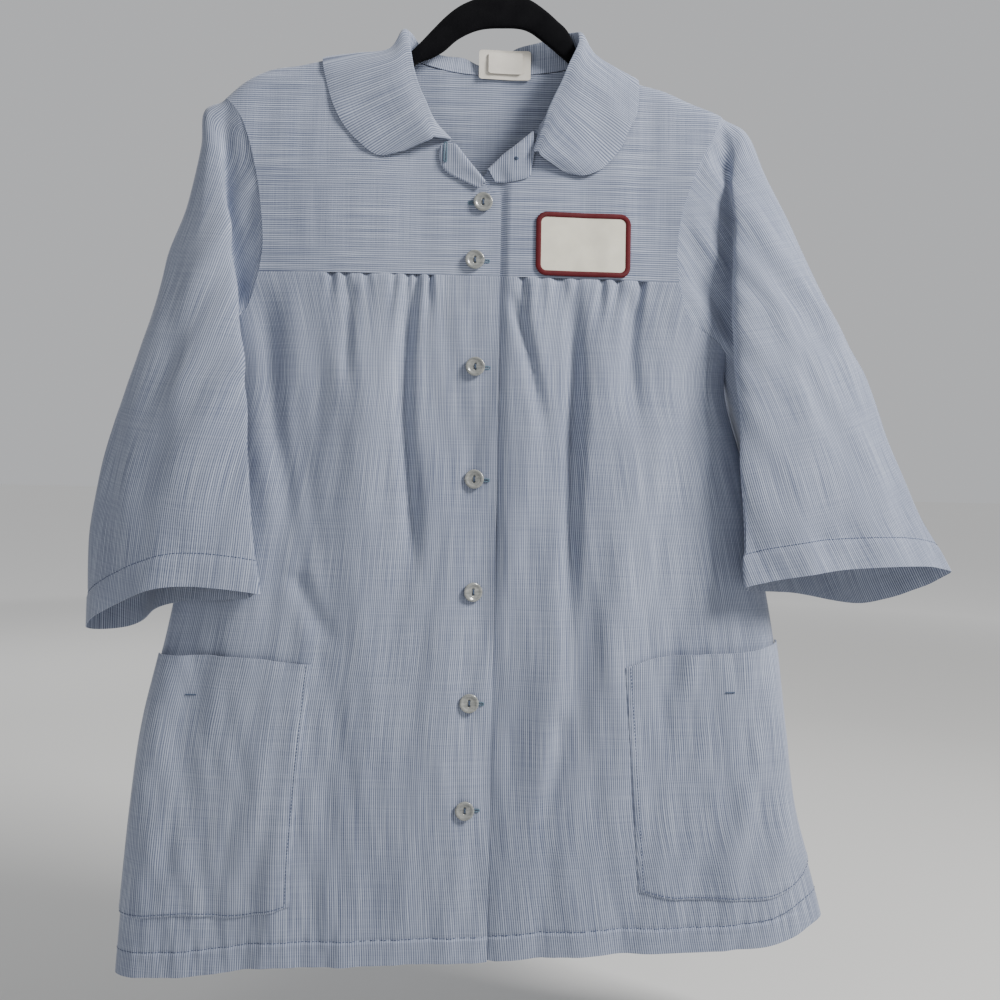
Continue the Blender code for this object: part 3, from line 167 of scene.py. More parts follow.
SLEEVES = by_side(SLEEVE_NAMES, [
    (184, 175, 168, 164, 170, 0, 0, -224, -8,
     -232, -9, -237.5, -6, -240, 1, -236, 7, -225, 9),
    (211, 205, 198, 195, 200, 0, 0, -223, -9,
     -226.5, -14, -237, -13, -243, -1, -237, 9, -223, 11),
    (246, 246, 243, 242, 245, 0, 0, -222, -9,
     -220, -21, -240, -21, -254, -2, -243, 11, -224, 13),
    (282, 283, 283, 284, 284, 0, 0, -217, -11,
     -214.5, -27, -243, -28, -270, -5, -252, 12, -226, 14),
    (298, 300, 301, 303, 302, 0, 0, -215, -12,
     -212, -29, -244, -31, -275, -6, -254, 12, -228, 14),
    (316, 318, 320, 324, 322, 0, 0, -212.5, -14,
     -210, -32, -245, -34, -281, -6, -257, 12, -229, 13),
    (330, 333, 335, 341, 338, 0, 0, -210.5, -20,
     -208, -34, -246, -36.5, -286, -7, -260, 11.5, -231, 12),
    (345, 348, 350, 358, 354, 0, 0, -208.5, -27,
     -205.5, -36, -247, -39, -291, -8, -263, 11, -234, 11),
    (362, 364, 366, 376, 370, 0, 0, -211.5, -28,
     -203, -38, -248, -41, -296, -9, -266, 10, -236, 9),
    (377, 378, 380, 392, 386, 0, 0, -217, -28,
     -202, -40, -248, -43, -301, -10, -269, 9, -238, 7),
    (389, 390, 393, 408, 402, -224.5, -15, -217, -31,
     -201, -41.5, -249, -45, -306, -10, -271, 8, -236, -3),
    (404, 406, 408, 424, 418, -214, -32, -207, -34,
     -197.5, -43, -250, -47, -311, -11, -274, 6, -234, -12),
    (442, 444, 446, 466, 456, -206, -36, -201, -38,
     -194, -47, -252, -51, -323, -12, -280, 3, -242, -17),
    (482, 484, 484, 510, 500, -202, -39, -198, -42,
     -191.5, -50, -255, -53, -331, -13, -287, 1, -250, -20),
    (524, 524, 522, 554, 548, -198, -41, -194, -44,
     -188, -52, -258, -55, -333, -14, -294, -1, -259, -22),
    (566, 561, 557, 596, 596, -195, -44, -191, -47,
     -185, -53, -262, -56, -333, -15, -300, -2, -267, -24)], [
    (184, 178, 170, 168, 174, 0, 0, 194, -8,
     202, -9.5, 208, -6, 211, 1, 208, 7, 197, 9.5),
    (211, 206, 200, 202, 206, 0, 0, 195.5, -9,
     198.5, -15, 213, -13, 228, -2, 219, 9, 204, 11),
    (246, 244, 240, 244, 245, 0, 0, 202.5, -9,
     200, -23, 223, -22, 252, -3, 236, 11, 212, 13),
    (282, 282, 284, 290, 286, 0, 0, 203, -11,
     200, -29, 234, -31, 276, -5, 252, 12, 219, 14),
    (298, 299, 301, 308, 304, 0, 0, 203, -12,
     200, -31, 238, -34, 286, -6, 259, 12, 221, 14),
    (316, 318, 321, 331, 325, 0, 0, 203.5, -13,
     200.5, -34, 244, -37, 300, -6, 268, 12, 224, 13),
    (330, 333, 338, 350, 344, 0, 0, 204, -15,
     200.8, -36, 248.5, -39, 309, -7, 275, 11.5, 225.5, 12),
    (345, 349, 355, 368, 362, 0, 0, 204, -18,
     201, -38, 253, -41, 319, -8, 282, 11, 227, 11),
    (362, 365, 372, 386, 379, 0, 0, 205.5, -21,
     201.5, -39.5, 257, -42.5, 327, -8.5, 288, 11, 228, 9.5),
    (377, 379, 389, 405, 397, 0, 0, 207, -24,
     202, -41, 261, -44, 335, -9, 294, 10, 229, 7),
    (390, 392, 405, 422, 413, 201.5, 3, 207, -30,
     202.5, -42, 264, -45, 342, -9, 299, 10, 231, 3),
    (406, 408, 422, 440, 430, 204.8, 2, 209, -33,
     203, -44, 268, -46, 350, -10, 305, 9, 233, -1),
    (444, 446, 454, 468, 462, 217, -2, 210, -38,
     204, -47, 275, -48, 364, -11, 314, 7, 240, -5),
    (480, 482, 484, 491, 494, 220, -20, 211.5, -42,
     205.5, -50, 282, -49, 376, -12, 322, 6, 247, -9),
    (518, 518, 512, 515, 532, 217, -34, 213, -45,
     207.5, -52, 290, -49, 390, -12, 330, 5, 253, -12),
    (554, 550, 534, 538, 568, 216, -42, 215.5, -47,
     209.5, -53, 298, -49, 402, -12, 338, 4, 262, -14)])

# Long soft folds of the fronts and the back. Each runs through three places.
FOLDS = columns("face x1 drop1 x2 drop2 x3 drop3 depth width", [
    (-1, -117, 300, -118, 345, -119, 400, -3.0, 7),
    (-1, -67, 300, -71, 385, -57, 575, -7.0, 9),
    (-1, -96, 330, -104, 500, -110, 800, 4.5, 22),
    (-1, -188, 305, -176, 420, -163, 520, -4.5, 13),
    (-1, -160, 540, -142, 577, -126, 610, -2.5, 13),
    (-1, 14, 306, 32, 372, 46, 440, -4.0, 7),
    (-1, 68, 300, 68, 450, 66, 660, -7.0, 9),
    (-1, 64, 650, 58, 705, 44, 775, -3.5, 9),
    (-1, 98, 330, 102, 500, 106, 820, 4.0, 22),
    (-1, 115, 302, 116, 355, 118, 430, -4.0, 10),
    (-1, -30, 420, -32, 600, -34, 840, 3.0, 20),
    (1, -84, 300, -90, 450, -98, 700, -6.0, 12),
    (1, -42, 300, -46, 420, -50, 640, -5.0, 11),
    (1, -4, 300, -2, 480, 2, 760, -6.0, 12),
    (1, 36, 300, 38, 400, 42, 610, -5.0, 11),
    (1, 78, 300, 84, 470, 92, 720, -6.0, 12)])

# The collar from the wearer's right corner round the back to the left one. Neck gives the place on
# the seam (face -1 in front), roll the crease at the top, edge the free edge; sag moves the fall.
COLLAR = columns("face neck_x neck_drop roll_x roll_drop roll_y edge_x edge_drop edge_y "
                 "sag_x sag_y sag_z", [
    (-1, 0, 187, -48, 186, -23.6, -76, 197.5, -20.9, 0, -3, 0),
    (-1, 0, 175, -52.5, 172, -22.0, -97, 201.5, -21.1, 0, -3, 0),
    (-1, 0, 162, -58, 157, -19.9, -114, 190, -19.5, 0, -3, 0),
    (-1, 0, 148, -64, 144, -18.0, -127, 175, -17.3, 0, -3, 0),
    (-1, 0, 134, -68.5, 130, -16.2, -136, 157, -14.8, 0, -3, -1),
    (-1, 0, 120, -72, 112, -12.0, -141.5, 138.7, -12.5, 0, -3, -3),
    (-1, 0, 112, -75, 98, -5.0, -144.2, 126.4, -10.2, 0, -2, -7),
    (-1, 0, 109.5, -75.8, 94, -2.5, -145.2, 119.4, -5.8, 0, -3.2, -10),
    (-1, -77, 0, -76, 91, 0.0, -145.5, 117.2, 0.0, 0, 0, -11),
    (1, -76.5, 0, -74.5, 91, 3.0, -144.9, 119.6, 6.3, 0, 3, -10),
    (1, -75, 0, -72, 92, 6.0, -141.1, 128.3, 10.9, 0, 3, -7),
    (1, -66, 0, -62, 102, 13.0, -112, 150, 18.0, 0, 3, -2),
    (1, -46, 0, -44, 107, 13.0, -74, 163, 20.0, 0, 3, 0),
    (1, -29, 0, -28, 108, 13.5, -42, 170, 21.0, 0, 3, 0),
    (1, -13, 0, -13, 114, 13.0, -16, 172, 21.0, 0, 3, 0),
    (1, 2, 0, 2, 110, 13.0, 8, 172, 21.0, 0, 3, 0),
    (1, 16, 0, 16, 99, 13.0, 32, 170, 21.0, 0, 3, 0),
    (1, 36, 0, 36, 93, 12.0, 62, 163, 20.0, 0, 3, 0),
    (1, 56, 0, 54, 87.5, 9.0, 96, 152, 18.0, 0, 3, -2),
    (1, 69, 0, 61, 86.5, 6.0, 112.2, 135.9, 11.4, 2, 2, -4),
    (1, 74, 0, 65, 87, 3.2, 117.1, 128.4, 6.5, 1, 3, -9),
    (-1, 79, 0, 67.5, 88, 0.0, 118.8, 126.4, 0.0, 4, 0, -11.6),
    (-1, 0, 112.3, 68, 91, -2.5, 119.2, 129.2, -6.5, 4, -3, -9),
    (-1, 0, 115, 68, 97.5, -7.0, 119.2, 136.7, -11.0, 3, -2, -4),
    (-1, 0, 119, 66, 104, -11.0, 119.1, 147.1, -13.3, 0, -3, -3),
    (-1, 0, 128, 59, 120, -16.0, 117, 160, -15.2, 0, -3, -1),
    (-1, 0, 138, 53, 135, -17.5, 112, 170, -17.0, 0, -3, 0),
    (-1, 0, 149, 47, 148, -19.0, 104, 188, -19.4, 0, -3, 0),
    (-1, 0, 158, 42, 160, -20.6, 91, 204, -21.4, 0, -3, 0),
    (-1, 0, 164, 39, 170, -21.8, 84, 209, -22.0, 0, -3, 0),
    (-1, 0, 168, 35, 183, -23.2, 72, 213, -22.6, 0, -3, 0),
    (-1, 0, 171, 31, 195, -24.6, 58, 211.5, -22.8, 0, -2, 0)])

# The turned-back corners: place on the neck edge, then the free edge.
LAPELS = by_side("neck_drop edge_x edge_drop", [
    (222, -14, 227), (215, -27, 221), (207, -42, 213), (199, -47, 203), (191, -46.5, 192)], [
    (178, 32, 195), (184, 30, 206), (190, 28, 215), (198, 17, 219.5), (206, 7, 221), (211, 0, 221)])

# The patch pockets: share from the inner edge (0) to the side seam (1), then top and bottom drops.
POCKETS = by_side("share top low_share bottom", [
    (0, 619, 0, 819), (0.08, 618, 0.083, 825), (0.2, 615, 0.185, 830), (0.4, 614, 0.384, 831),
    (0.7, 616, 0.72, 836), (1, 617, 1, 837)], [
    (0, 618, 0, 807), (0.11, 611, 0.096, 813), (0.27, 608, 0.265, 815), (0.53, 606, 0.485, 816),
    (0.71, 603, 0.864, 797), (1, 599, 1, 790)])

# Their inner edges.
POCKET_EDGES = by_side("drop x", [
    (619, -143), (661, -147), (730, -153), (787, -157), (821, -158)], [
    (618, 114), (675, 119), (732, 124), (809, 131)])

BUTTONS = columns("x drop", [
    (-10, 238), (-16, 286), (-14, 374), (-13, 466), (-13, 558), (-14, 649), (-16, 737)])

# The hanger's top and bottom lines.
HANGER = columns("x top bottom", [
    (-206, 149, 154), (-203, 141, 159), (-191, 134.5, 158), (-163, 128, 151), (-143, 122.8, 146),
    (-110, 117.2, 140), (-90, 114, 135), (-76, 112.2, 127), (-66, 103, 118.5), (-54, 90, 113.5),
    (-45, 80.5, 108), (-35, 72, 99), (-22, 65, 91.5), (3, 60, 87), (28, 63.5, 90), (37, 69, 96),
    (49, 78.5, 105), (61, 91, 115), (66.5, 103, 121), (70, 112, 126), (77, 117.5, 131),
    (95, 122.5, 139), (119, 133, 151), (139, 138, 157), (164, 148, 166), (188, 159, 173),
    (200, 167, 176), (205, 172, 176.5)])

# The hook's stem, from the end of its bend into the hanger.
HOOK_STEM = columns("x drop", [(8, 40.5), (4.2, 45.5), (3, 51), (3, 59.7)])


def smooth(at: Array, knots: Array, values: Array) -> Array:
    """Cubic curve through a table's values, straight on past its ends.

    Args:
        at: where the curve is read.
        knots: the table's places, rising.
        values: the table's values.

    Returns:
        The curve's value at each place.
    """
    at = np.asarray(at, float)
    slope = np.gradient(values, knots)
    inside = np.clip(at, knots[0], knots[-1])
    i = np.clip(np.searchsorted(knots, inside, side="right") - 1, 0, len(knots) - 2)
    span = knots[i + 1] - knots[i]
    f = (inside - knots[i]) / span
    held = values[i] * (2 * f ** 3 - 3 * f ** 2 + 1) + values[i + 1] * (3 * f ** 2 - 2 * f ** 3)
    leant = slope[i] * (f ** 3 - 2 * f ** 2 + f) + slope[i + 1] * (f ** 3 - f ** 2)
    end = np.where(at < knots[0], slope[0], slope[-1])
    return held + span * leant + (at - inside) * end


def curve(table: Table, name: str, at: Array, by: str = "drop") -> Array:
    """The curve through one column of a table, read at places in another column."""
    return smooth(at, table[by], table[name])


def spots(x: Array, y: Array, drop: Array) -> Array:
    """Points in millimetres from their x, y and drop."""
    return np.stack(np.broadcast_arrays(x, y, -drop), axis=-1)


def ease(f: Array) -> Array:
    """Smooth step from 0 to 1: three squares less two cubes."""
    f = np.clip(f, 0, 1)
    return f * f * (3 - 2 * f)


def bell(f: Array) -> Array:
    """A bell of height one: it falls to 1/e where f is one."""
    return np.exp(-f ** 2)


def quarter(f: Array, least: float = 0.0) -> Array:
    """Quarter circle from 0 to 1, squared no lower than least."""
    return np.sqrt(np.clip(1 - (1 - np.clip(f, 0, 1)) ** 2, least, 1))


def signed_power(f: Array, power: float) -> Array:
    """A power that keeps the sign."""
    return np.sign(f) * np.abs(f) ** power


def circle(count: int) -> Array:
    """The angles of so many points round a circle."""
    return 2 * math.pi * np.arange(count) / count


def unit(v: Array) -> Array:
    """Vectors scaled to a length of one."""
    return v / np.maximum(np.linalg.norm(v, axis=-1, keepdims=True), 1e-9)


def grid_normals(points: Array) -> Array:
    """Unit normals of a grid of points, the cross product of its own two slopes."""
    return unit(np.cross(np.gradient(points, axis=1), np.gradient(points, axis=0)))


def lengths(points: Array, axis: int) -> Array:
    """Length run along one axis of a grid, from its first point, for each point."""
    step = np.linalg.norm(np.diff(points, axis=axis), axis=-1)
    pad = [(0, 0)] * step.ndim
    pad[axis] = (1, 0)
    return np.pad(np.cumsum(step, axis=axis), pad)


def resample(at: Array, run: Array, line: Array) -> Array:
    """A line's places, one a row, read off between its points at lengths run along it."""
    return np.stack([np.interp(at, run, part) for part in line.T], axis=-1)


def denser(points: Array, steps: int, axis: int) -> Array:
    """Centripetal Catmull-Rom curves through a grid's points along one of its first two axes.

    Args:
        points: rows by columns by 3.
        steps: how many spans each span becomes.
        axis: 0 for curves down the rows, 1 for curves across the columns.

    Returns:
        The grid with steps times as many spans that way.
    """
    lines = np.swapaxes(points, 0, 1) if axis == 0 else points
    before = 2 * lines[:, :1] - lines[:, 1:2]
    after = 2 * lines[:, -1:] - lines[:, -2:-1]
    p = np.concatenate([before, lines, after], axis=1)
    gap = np.sqrt(np.maximum(np.linalg.norm(np.diff(p, axis=1), axis=-1), 0.05))[..., None, None]
    a, b, c, d = (p[:, k:k + lines.shape[1] - 1, None] for k in range(4))
    t1 = gap[:, :-2]
    t2 = t1 + gap[:, 1:-1]
    t3 = t2 + gap[:, 2:]
    t = t1 + (t2 - t1) * (np.arange(steps) / steps)[:, None]
    ab = (t1 - t) / t1 * a + t / t1 * b
    bc = (t2 - t) / (t2 - t1) * b + (t - t1) / (t2 - t1) * c
    cd = (t3 - t) / (t3 - t2) * c + (t - t2) / (t3 - t2) * d
    abc = (t2 - t) / t2 * ab + t / t2 * bc
    bcd = (t3 - t) / (t3 - t1) * bc + (t - t1) / (t3 - t1) * cd
    dense = (t2 - t) / (t2 - t1) * abc + (t - t1) / (t2 - t1) * bcd
    whole = np.concatenate([dense.reshape(lines.shape[0], -1, 3), lines[:, -1:]], axis=1)
    return np.swapaxes(whole, 0, 1) if axis == 0 else whole


def with_normals(surface: Callable[[Array, Array], Array], a: Array, b: Array, a_step: float,
                 b_step: float) -> tuple[Array, Array]:
    """Points of a surface of two parameters and its outward normals, by central differences."""
    da = surface(a + a_step, b) - surface(a - a_step, b)
    db = surface(a, b + b_step) - surface(a, b - b_step)
    return surface(a, b), unit(np.cross(db, da))


@dataclass(frozen=True)
class Rumple:
    """Small soft wrinkles: a sum of sines in seeded directions, shorter ones being lower."""

    seed: int
    waves: int = 26
    across: tuple[float, float] = (16.0, 90.0)  # shortest and longest wave across, in mm
    stretch: tuple[float, float] = (2.0, 6.0)  # how much longer the waves are down the cloth
    height: float = 0.55
    bend: float = 0.7  # how unevenly each wave runs

    def __call__(self, x: Array, drop: Array) -> Array:
        """Height of the cloth above its soft form at each place."""
        pick = np.random.default_rng(self.seed)
        span = np.exp(pick.uniform(*np.log(self.across), self.waves))
        down = span * pick.uniform(*self.stretch, self.waves) * pick.choice([-1, 1], self.waves)
        phase = pick.uniform(0, 2 * math.pi, self.waves)
        out = np.zeros(np.broadcast(x, drop).shape)
        for wide, long, start in zip(span, down, phase):
            turn = 2 * math.pi * (x / wide + drop / long) + start
            out = out + wide / self.across[1] * np.sin(turn + self.bend * np.sin(turn / 3 + start))
        return self.height * out


@dataclass(frozen=True)
class Gathering:
    """The gathers where one panel meets its yoke: seeded pleats that open out downwards."""

    start: float
    end: float
    count: int
    seed: int
    swell: float = 3.6  # how far the cloth rises below the seam
    swell_start: float = 3.5  # how far down it has risen
    reach: float = 85.0  # how far down the swelling fades
    margin: float = 9.0  # how far the swelling runs past the pleats
    blend: float = 14.0  # the width over which it does
    jitter: float = 5.5  # how far a pleat strays from its place
    depths: tuple[float, float] = (1.4, 5.6)
    widths: tuple[float, float] = (1.7, 4.2)
    shortest: float = 12.0  # length of the shortest pleat
    growth: tuple[float, float] = (0.0, 2.4)  # natural log of how much longer others are
    drifts: tuple[float, float] = (-0.16, 0.16)  # sideways for each step down
    opening: tuple[float, float] = (0.05, 0.10)  # widening for each step down

    def __call__(self, x: Array, below: Array) -> Array:
        """Height of the cloth at x, a distance below the yoke seam: a swelling, less each pleat's
        bell-shaped groove, which widens and fades downwards."""
        pick = np.random.default_rng(self.seed)
        below = np.maximum(below, 0.0)
        within = (ease((x - self.start + self.margin) / self.blend)
                  * ease((self.end + self.margin - x) / self.blend))
        out = (self.swell * (1 - np.exp(-below / self.swell_start)) * np.exp(-below / self.reach)
               * within)
        places = np.linspace(self.start, self.end, self.count)
        for place in places + pick.uniform(-self.jitter, self.jitter, self.count):
            depth, width = pick.uniform(*self.depths), pick.uniform(*self.widths)
            length = self.shortest * math.exp(pick.uniform(*self.growth))
            drift = pick.uniform(*self.drifts)
            wide = width + below * pick.uniform(*self.opening)
            groove = bell((x - place - drift * below) / wide)
            out = out - depth * groove * np.exp(-below / length) * ease(0.55 + below / 5)
        return out


# The wearer's right front before the left one.
GATHERS = {FRONT: (Gathering(-136.0, -47.0, 9, 5), Gathering(28.0, 119.0, 9, 11)),
           BACK: (Gathering(-96.0, 90.0, 16, 23, swell=2.8),)}


@dataclass(frozen=True)
class HemRelief:
    """What a stitched hem does to the cloth: it puckers near the stitches, sinks under them and
    stands out below them."""

    pucker: float = 0.45
    pucker_reach: float = 9.0
    groove: float = 0.5
    groove_width: float = 1.5
    rise: float = 0.8
    rise_width: float = 1.6

    def __call__(self, above: Array, turn: Array, calm: Array | float = 1.0) -> Array:
        """Height of the cloth, from how far it is above the stitches and the puckers' phase."""
        puckers = self.pucker * np.sin(turn) * bell(above / self.pucker_reach) * calm
        return (self.rise * ease(-above / self.rise_width) + puckers
                - self.groove * bell(above / self.groove_width))


HEM_RELIEF = HemRelief()


@dataclass(frozen=True)
class Torso:
    """The hanging body as one surface of an angle round it and a drop below the hook. Angle 0 is
    the front and a quarter turn is the wearer's left side."""

    yoke_drop: float = 298.0
    lap_drop: float = 229.0
    lap_edge: float = 5.0
    underlap: float = -27.0
    lap_step: float = 3.1
    lap_fade: float = 8.0
    ridge_fall: float = 7.0
    squareness: float = 2.5
    hem_drop: float = 866.0
    hang_start: float = 400.0
    fold_depth: float = 1.35  # of the long folds, against their table
    valley_width: float = 0.72  # of those that go inwards
    hem_depth: float = 21.0  # from the hem's stitches to its edge
    yoke_rumple: float = 0.3  # share of the wrinkles that the yokes show
    rumple_reach: float = 40.0  # how far below the yokes they are whole
    run_drop: float = 800.0  # where the length round the body is read
    front_rumple: Rumple = Rumple(31, across=(20.0, 130.0), stretch=(3.5, 11.0), height=0.75)
    back_rumple: Rumple = Rumple(77, across=(20.0, 130.0), stretch=(3.5, 11.0), height=0.75)

    def folds(self, face: Face, x: Array, drop: Array) -> Array:
        """How far the cloth stands out from its long folds: bells across a smooth line, swelling
        from one end of the line and dying out at the other."""
        out = np.zeros(np.broadcast(x, drop).shape)
        for i in np.flatnonzero(FOLDS["face"] == face.value):
            row = {name: FOLDS[name][i] for name in FOLDS}
            knots = np.array([row["drop1"], row["drop2"], row["drop3"]])
            line = smooth(drop, knots, np.array([row["x1"], row["x2"], row["x3"]]))
            along = np.clip((drop - knots[0]) / (knots[2] - knots[0]), 0, 1)
            swell = ease(along * 5) * ease((1 - along) * 2.5)
            wide = row["width"] * (self.valley_width if row["depth"] < 0 else 1.0)
            out = out + self.fold_depth * row["depth"] * swell * bell((x - line) / wide)
        for gathers in GATHERS[face]:
            out = out + gathers(x, drop - self.yoke_drop)
        return out

    def hem(self, x: Array, drop: Array) -> Array:
        """The relief of the hem."""
        above = curve(HEM, "drop", x, by="x") - self.hem_depth - drop
        return HEM_RELIEF(above, x * 0.62 + 1.4 * np.sin(x * 0.071))

    def width(self, drop: Array) -> tuple[Array, Array]:
        """The body's middle and half its width at a drop."""
        low, high = curve(BODY, "low", drop), curve(BODY, "high", drop)
        return (low + high) / 2, (high - low) / 2

    def ridge(self, x: Array) -> Array:
        """Drop of the shoulders' top line."""
        return curve(RIDGE, "drop", x, by="x")

    def front_edge(self, side: Side) -> float:
        """Where one front ends below the neck: over the other front, or beneath it."""
        return self.lap_edge if side is RIGHT else self.underlap

    def at(self, angle: Array, drop: Array, folded: float = 1.0, under: float = 0.0) -> Array:
        """The garment's outer face.

        Args:
            angle: the angle round the body.
            drop: the distance below the hook's seat.
            folded: 1 below the yokes, where the long folds are, and 0 on the yokes.
            under: 1 on the front that lies beneath the other.

        Returns:
            Points in millimetres: a squared oval whose depths are read at the drop and close in at
            the shoulder ridge, with the folds, hem and wrinkles added to its depths.
        """
        middle, half = self.width(drop)
        across, ahead = np.sin(angle), np.cos(angle)
        x = middle + half * across
        round_off = np.maximum(1 - np.abs(across) ** self.squareness, 0) ** (1 / self.squareness)
        over = np.sqrt(1 - np.exp(-np.maximum(drop - self.ridge(x), 0) / self.ridge_fall))
        calm = ease(round_off * 1.6 - 0.1)
        shown = ease((drop - self.yoke_drop) / self.rumple_reach)
        level = (self.yoke_rumple + (1 - self.yoke_rumple) * shown) * over * calm
        depths = []
        for face, rumple in ((FRONT, self.front_rumple), (BACK, self.back_rumple)):
            depth = curve(BODY, face.name.lower(), drop) * round_off * over
            if folded:
                depth = depth + (self.folds(face, x, drop) + self.hem(x, drop)) * calm * folded
            depths.append(depth + rumple(x, drop) * level)
        front, back = depths
        front = front - under * self.lap_step * (1 - ease((x - self.lap_edge) / self.lap_fade))
        return spots(x, curve(BODY, "middle", drop) + np.where(ahead >= 0, -front, back), drop)

    def angle_at(self, x: Array, drop: Array, face: Face) -> Array:
        """The body's angle where the front or the back passes x."""
        middle, half = self.width(drop)
        turn = np.arcsin(np.clip((x - middle) / half, -1, 1))
        return turn if face is FRONT else math.pi - turn

    def skin(self, angle: Array, drop: Array, folded: float = 1.0,
             under: float = 0.0) -> tuple[Array, Array]:
        """Points of the outer face and its normals."""
        return with_normals(lambda a, b: self.at(a, b, folded, under), angle, drop,
                            ANGLE_STEP, LENGTH_STEP)

    def shoulder(self, x: Array, over: Array, under: float = 0.0) -> Array:
        """The outer face near the ridge. The square of `over` is the drop below the ridge, down the
        front where it is above 0 and down the back where it is below."""
        drop = self.ridge(x) + over ** 2
        front = self.at(self.angle_at(x, drop, FRONT), drop, 0.0, under)
        back = self.at(self.angle_at(x, drop, BACK), drop, 0.0)
        points = np.where((over >= 0)[..., None], front, back)
        points[..., 0] = x
        return points

    def shoulder_skin(self, x: Array, over: Array, under: float = 0.0) -> tuple[Array, Array]:
        """Points and normals near the ridge."""
        return with_normals(lambda a, b: self.shoulder(a, b, under), x, over,
                            LENGTH_STEP, ANGLE_STEP)

    def over(self, x: Array, drop: Array, face: Array | float) -> Array:
        """The signed root of a place's drop below the ridge, from the value of its face."""
        return -face * np.sqrt(np.maximum(drop - self.ridge(x), 0))

    def hang(self, angle: Array, level: Array) -> Array:
        """Drops of rows that lean towards the hem's own line as they go down."""
        lean = ease((level - self.hang_start) / (self.hem_drop - self.hang_start))
        drop = level + 0 * angle
        for _ in range(ROUNDS):
            x = self.at(angle, drop, 0.0)[..., 0]
            drop = level + (curve(HEM, "drop", x, by="x") - self.hem_drop) * lean
        return drop

    def run(self, angle: Array) -> Array:
        """Length round the body from a little before its right side, which the stripes follow."""
        turn = np.linspace(-0.6 * math.pi, 1.6 * math.pi, 800)
        low = np.full_like(turn, self.run_drop)
        return np.interp(angle, turn, lengths(self.at(turn, low, 0.0), 0))


TORSO = Torso()


def new_object(name: str, data: bpy.types.ID) -> bpy.types.Object:
    """A new object in the scene."""
    thing = bpy.data.objects.new(name, data)
    bpy.context.scene.collection.objects.link(thing)
    return thing


def wall_quads(rows: int, cols: int) -> Array:
    """Quads of a closed wall between two grids of rows by columns points, outer grid first."""
    r, c = np.mgrid[:rows - 1, :cols - 1]
    a = (r * cols + c).ravel()
    count = rows * cols
    outer = np.stack([a, a + 1, a + cols + 1, a + cols], axis=1)
    inner = np.stack([a, a + cols, a + cols + 1, a + 1], axis=1) + count
    rim = np.concatenate([np.arange(cols - 1), np.arange(rows - 1) * cols + cols - 1,
                          (rows - 1) * cols + np.arange(cols - 1, 0, -1),
                          np.arange(rows - 1, 0, -1) * cols])
    ahead = np.roll(rim, -1)
    return np.vstack([outer, inner, np.stack([ahead, rim, rim + count, ahead + count], axis=1)])


def ring_quads(loops: int, count: int, closed: bool) -> Array:
    """Quads between loops of count points each; the last joins the first where it is closed."""
    last = loops if closed else loops - 1
    r, c = np.mgrid[:last, :count]
    r, c = r.ravel(), c.ravel()
    ahead, beside = (r + 1) % loops, (c + 1) % count
    return np.stack([r * count + c, r * count + beside, ahead * count + beside, ahead * count + c],
                    axis=1)


def shell(loops: Array, closed: bool) -> tuple[Array, list]:
    """A body from loops of points: joined into a ring, or with a fan over each end.

    Args:
        loops: loops by points by 3.
        closed: whether the last loop joins the first one.

    Returns:
        All points, and the faces as lists.
    """
    rows, count = loops.shape[:2]
    points = loops.reshape(-1, 3)
    faces = ring_quads(rows, count, closed).tolist()
    if closed:
        return points, faces
    here = np.arange(count)
    beside = (here + 1) % count
    last = (rows - 1) * count
    for end, a, b in ((0, beside, here), (1, last + here, last + beside)):
        faces += np.stack([a, b, np.full(count, rows * count + end)], axis=1).tolist()
    return np.vstack([points, loops[[0, -1]].mean(axis=1)]), faces


def outward(points: Array, faces: list) -> list:
    """The faces of a closed body, turned round if its volume comes out below zero."""
    corner = np.array([(f[0], f[i], f[i + 1]) for f in faces for i in range(1, len(f) - 1)])
    a, b, c = (points[corner[:, k]] - points.mean(axis=0) for k in range(3))
    return [f[::-1] for f in faces] if (a * np.cross(b, c)).sum() < 0 else faces


def rings(centre: Array, radius: Array, turn: Array, side: Array, lift: Array) -> Array:
    """Loops of points at the angles turn round each centre, in the plane of two directions."""
    ring = np.cos(turn)[:, None] * side[..., None, :] + np.sin(turn)[:, None] * lift[..., None, :]
    return centre[..., None, :] + radius[..., None, None] * ring


def tube(line: Array, radius: Array | float, out: Array, sides: int, flat: float = 1.0,
         closed: bool = False) -> Array:
    """Loops round a line: circles of the given radius, square to it.

    Args:
        line: points along the middle.
        radius: one radius, or one for each point.
        out: a direction away from the surface, or one for each point.
        sides: points in each loop.
        flat: the loops' height as a share of their width.
        closed: whether the line's end joins its start.

    Returns:
        Loops by sides by 3 points.
    """
    ahead = (np.roll(line, -1, axis=0) - np.roll(line, 1, axis=0) if closed
             else np.gradient(line, axis=0))
    ahead = unit(ahead)
    side = unit(np.cross(ahead, out))
    radius = np.broadcast_to(radius, len(line))
    return rings(line, radius, circle(sides), side, flat * np.cross(side, ahead))


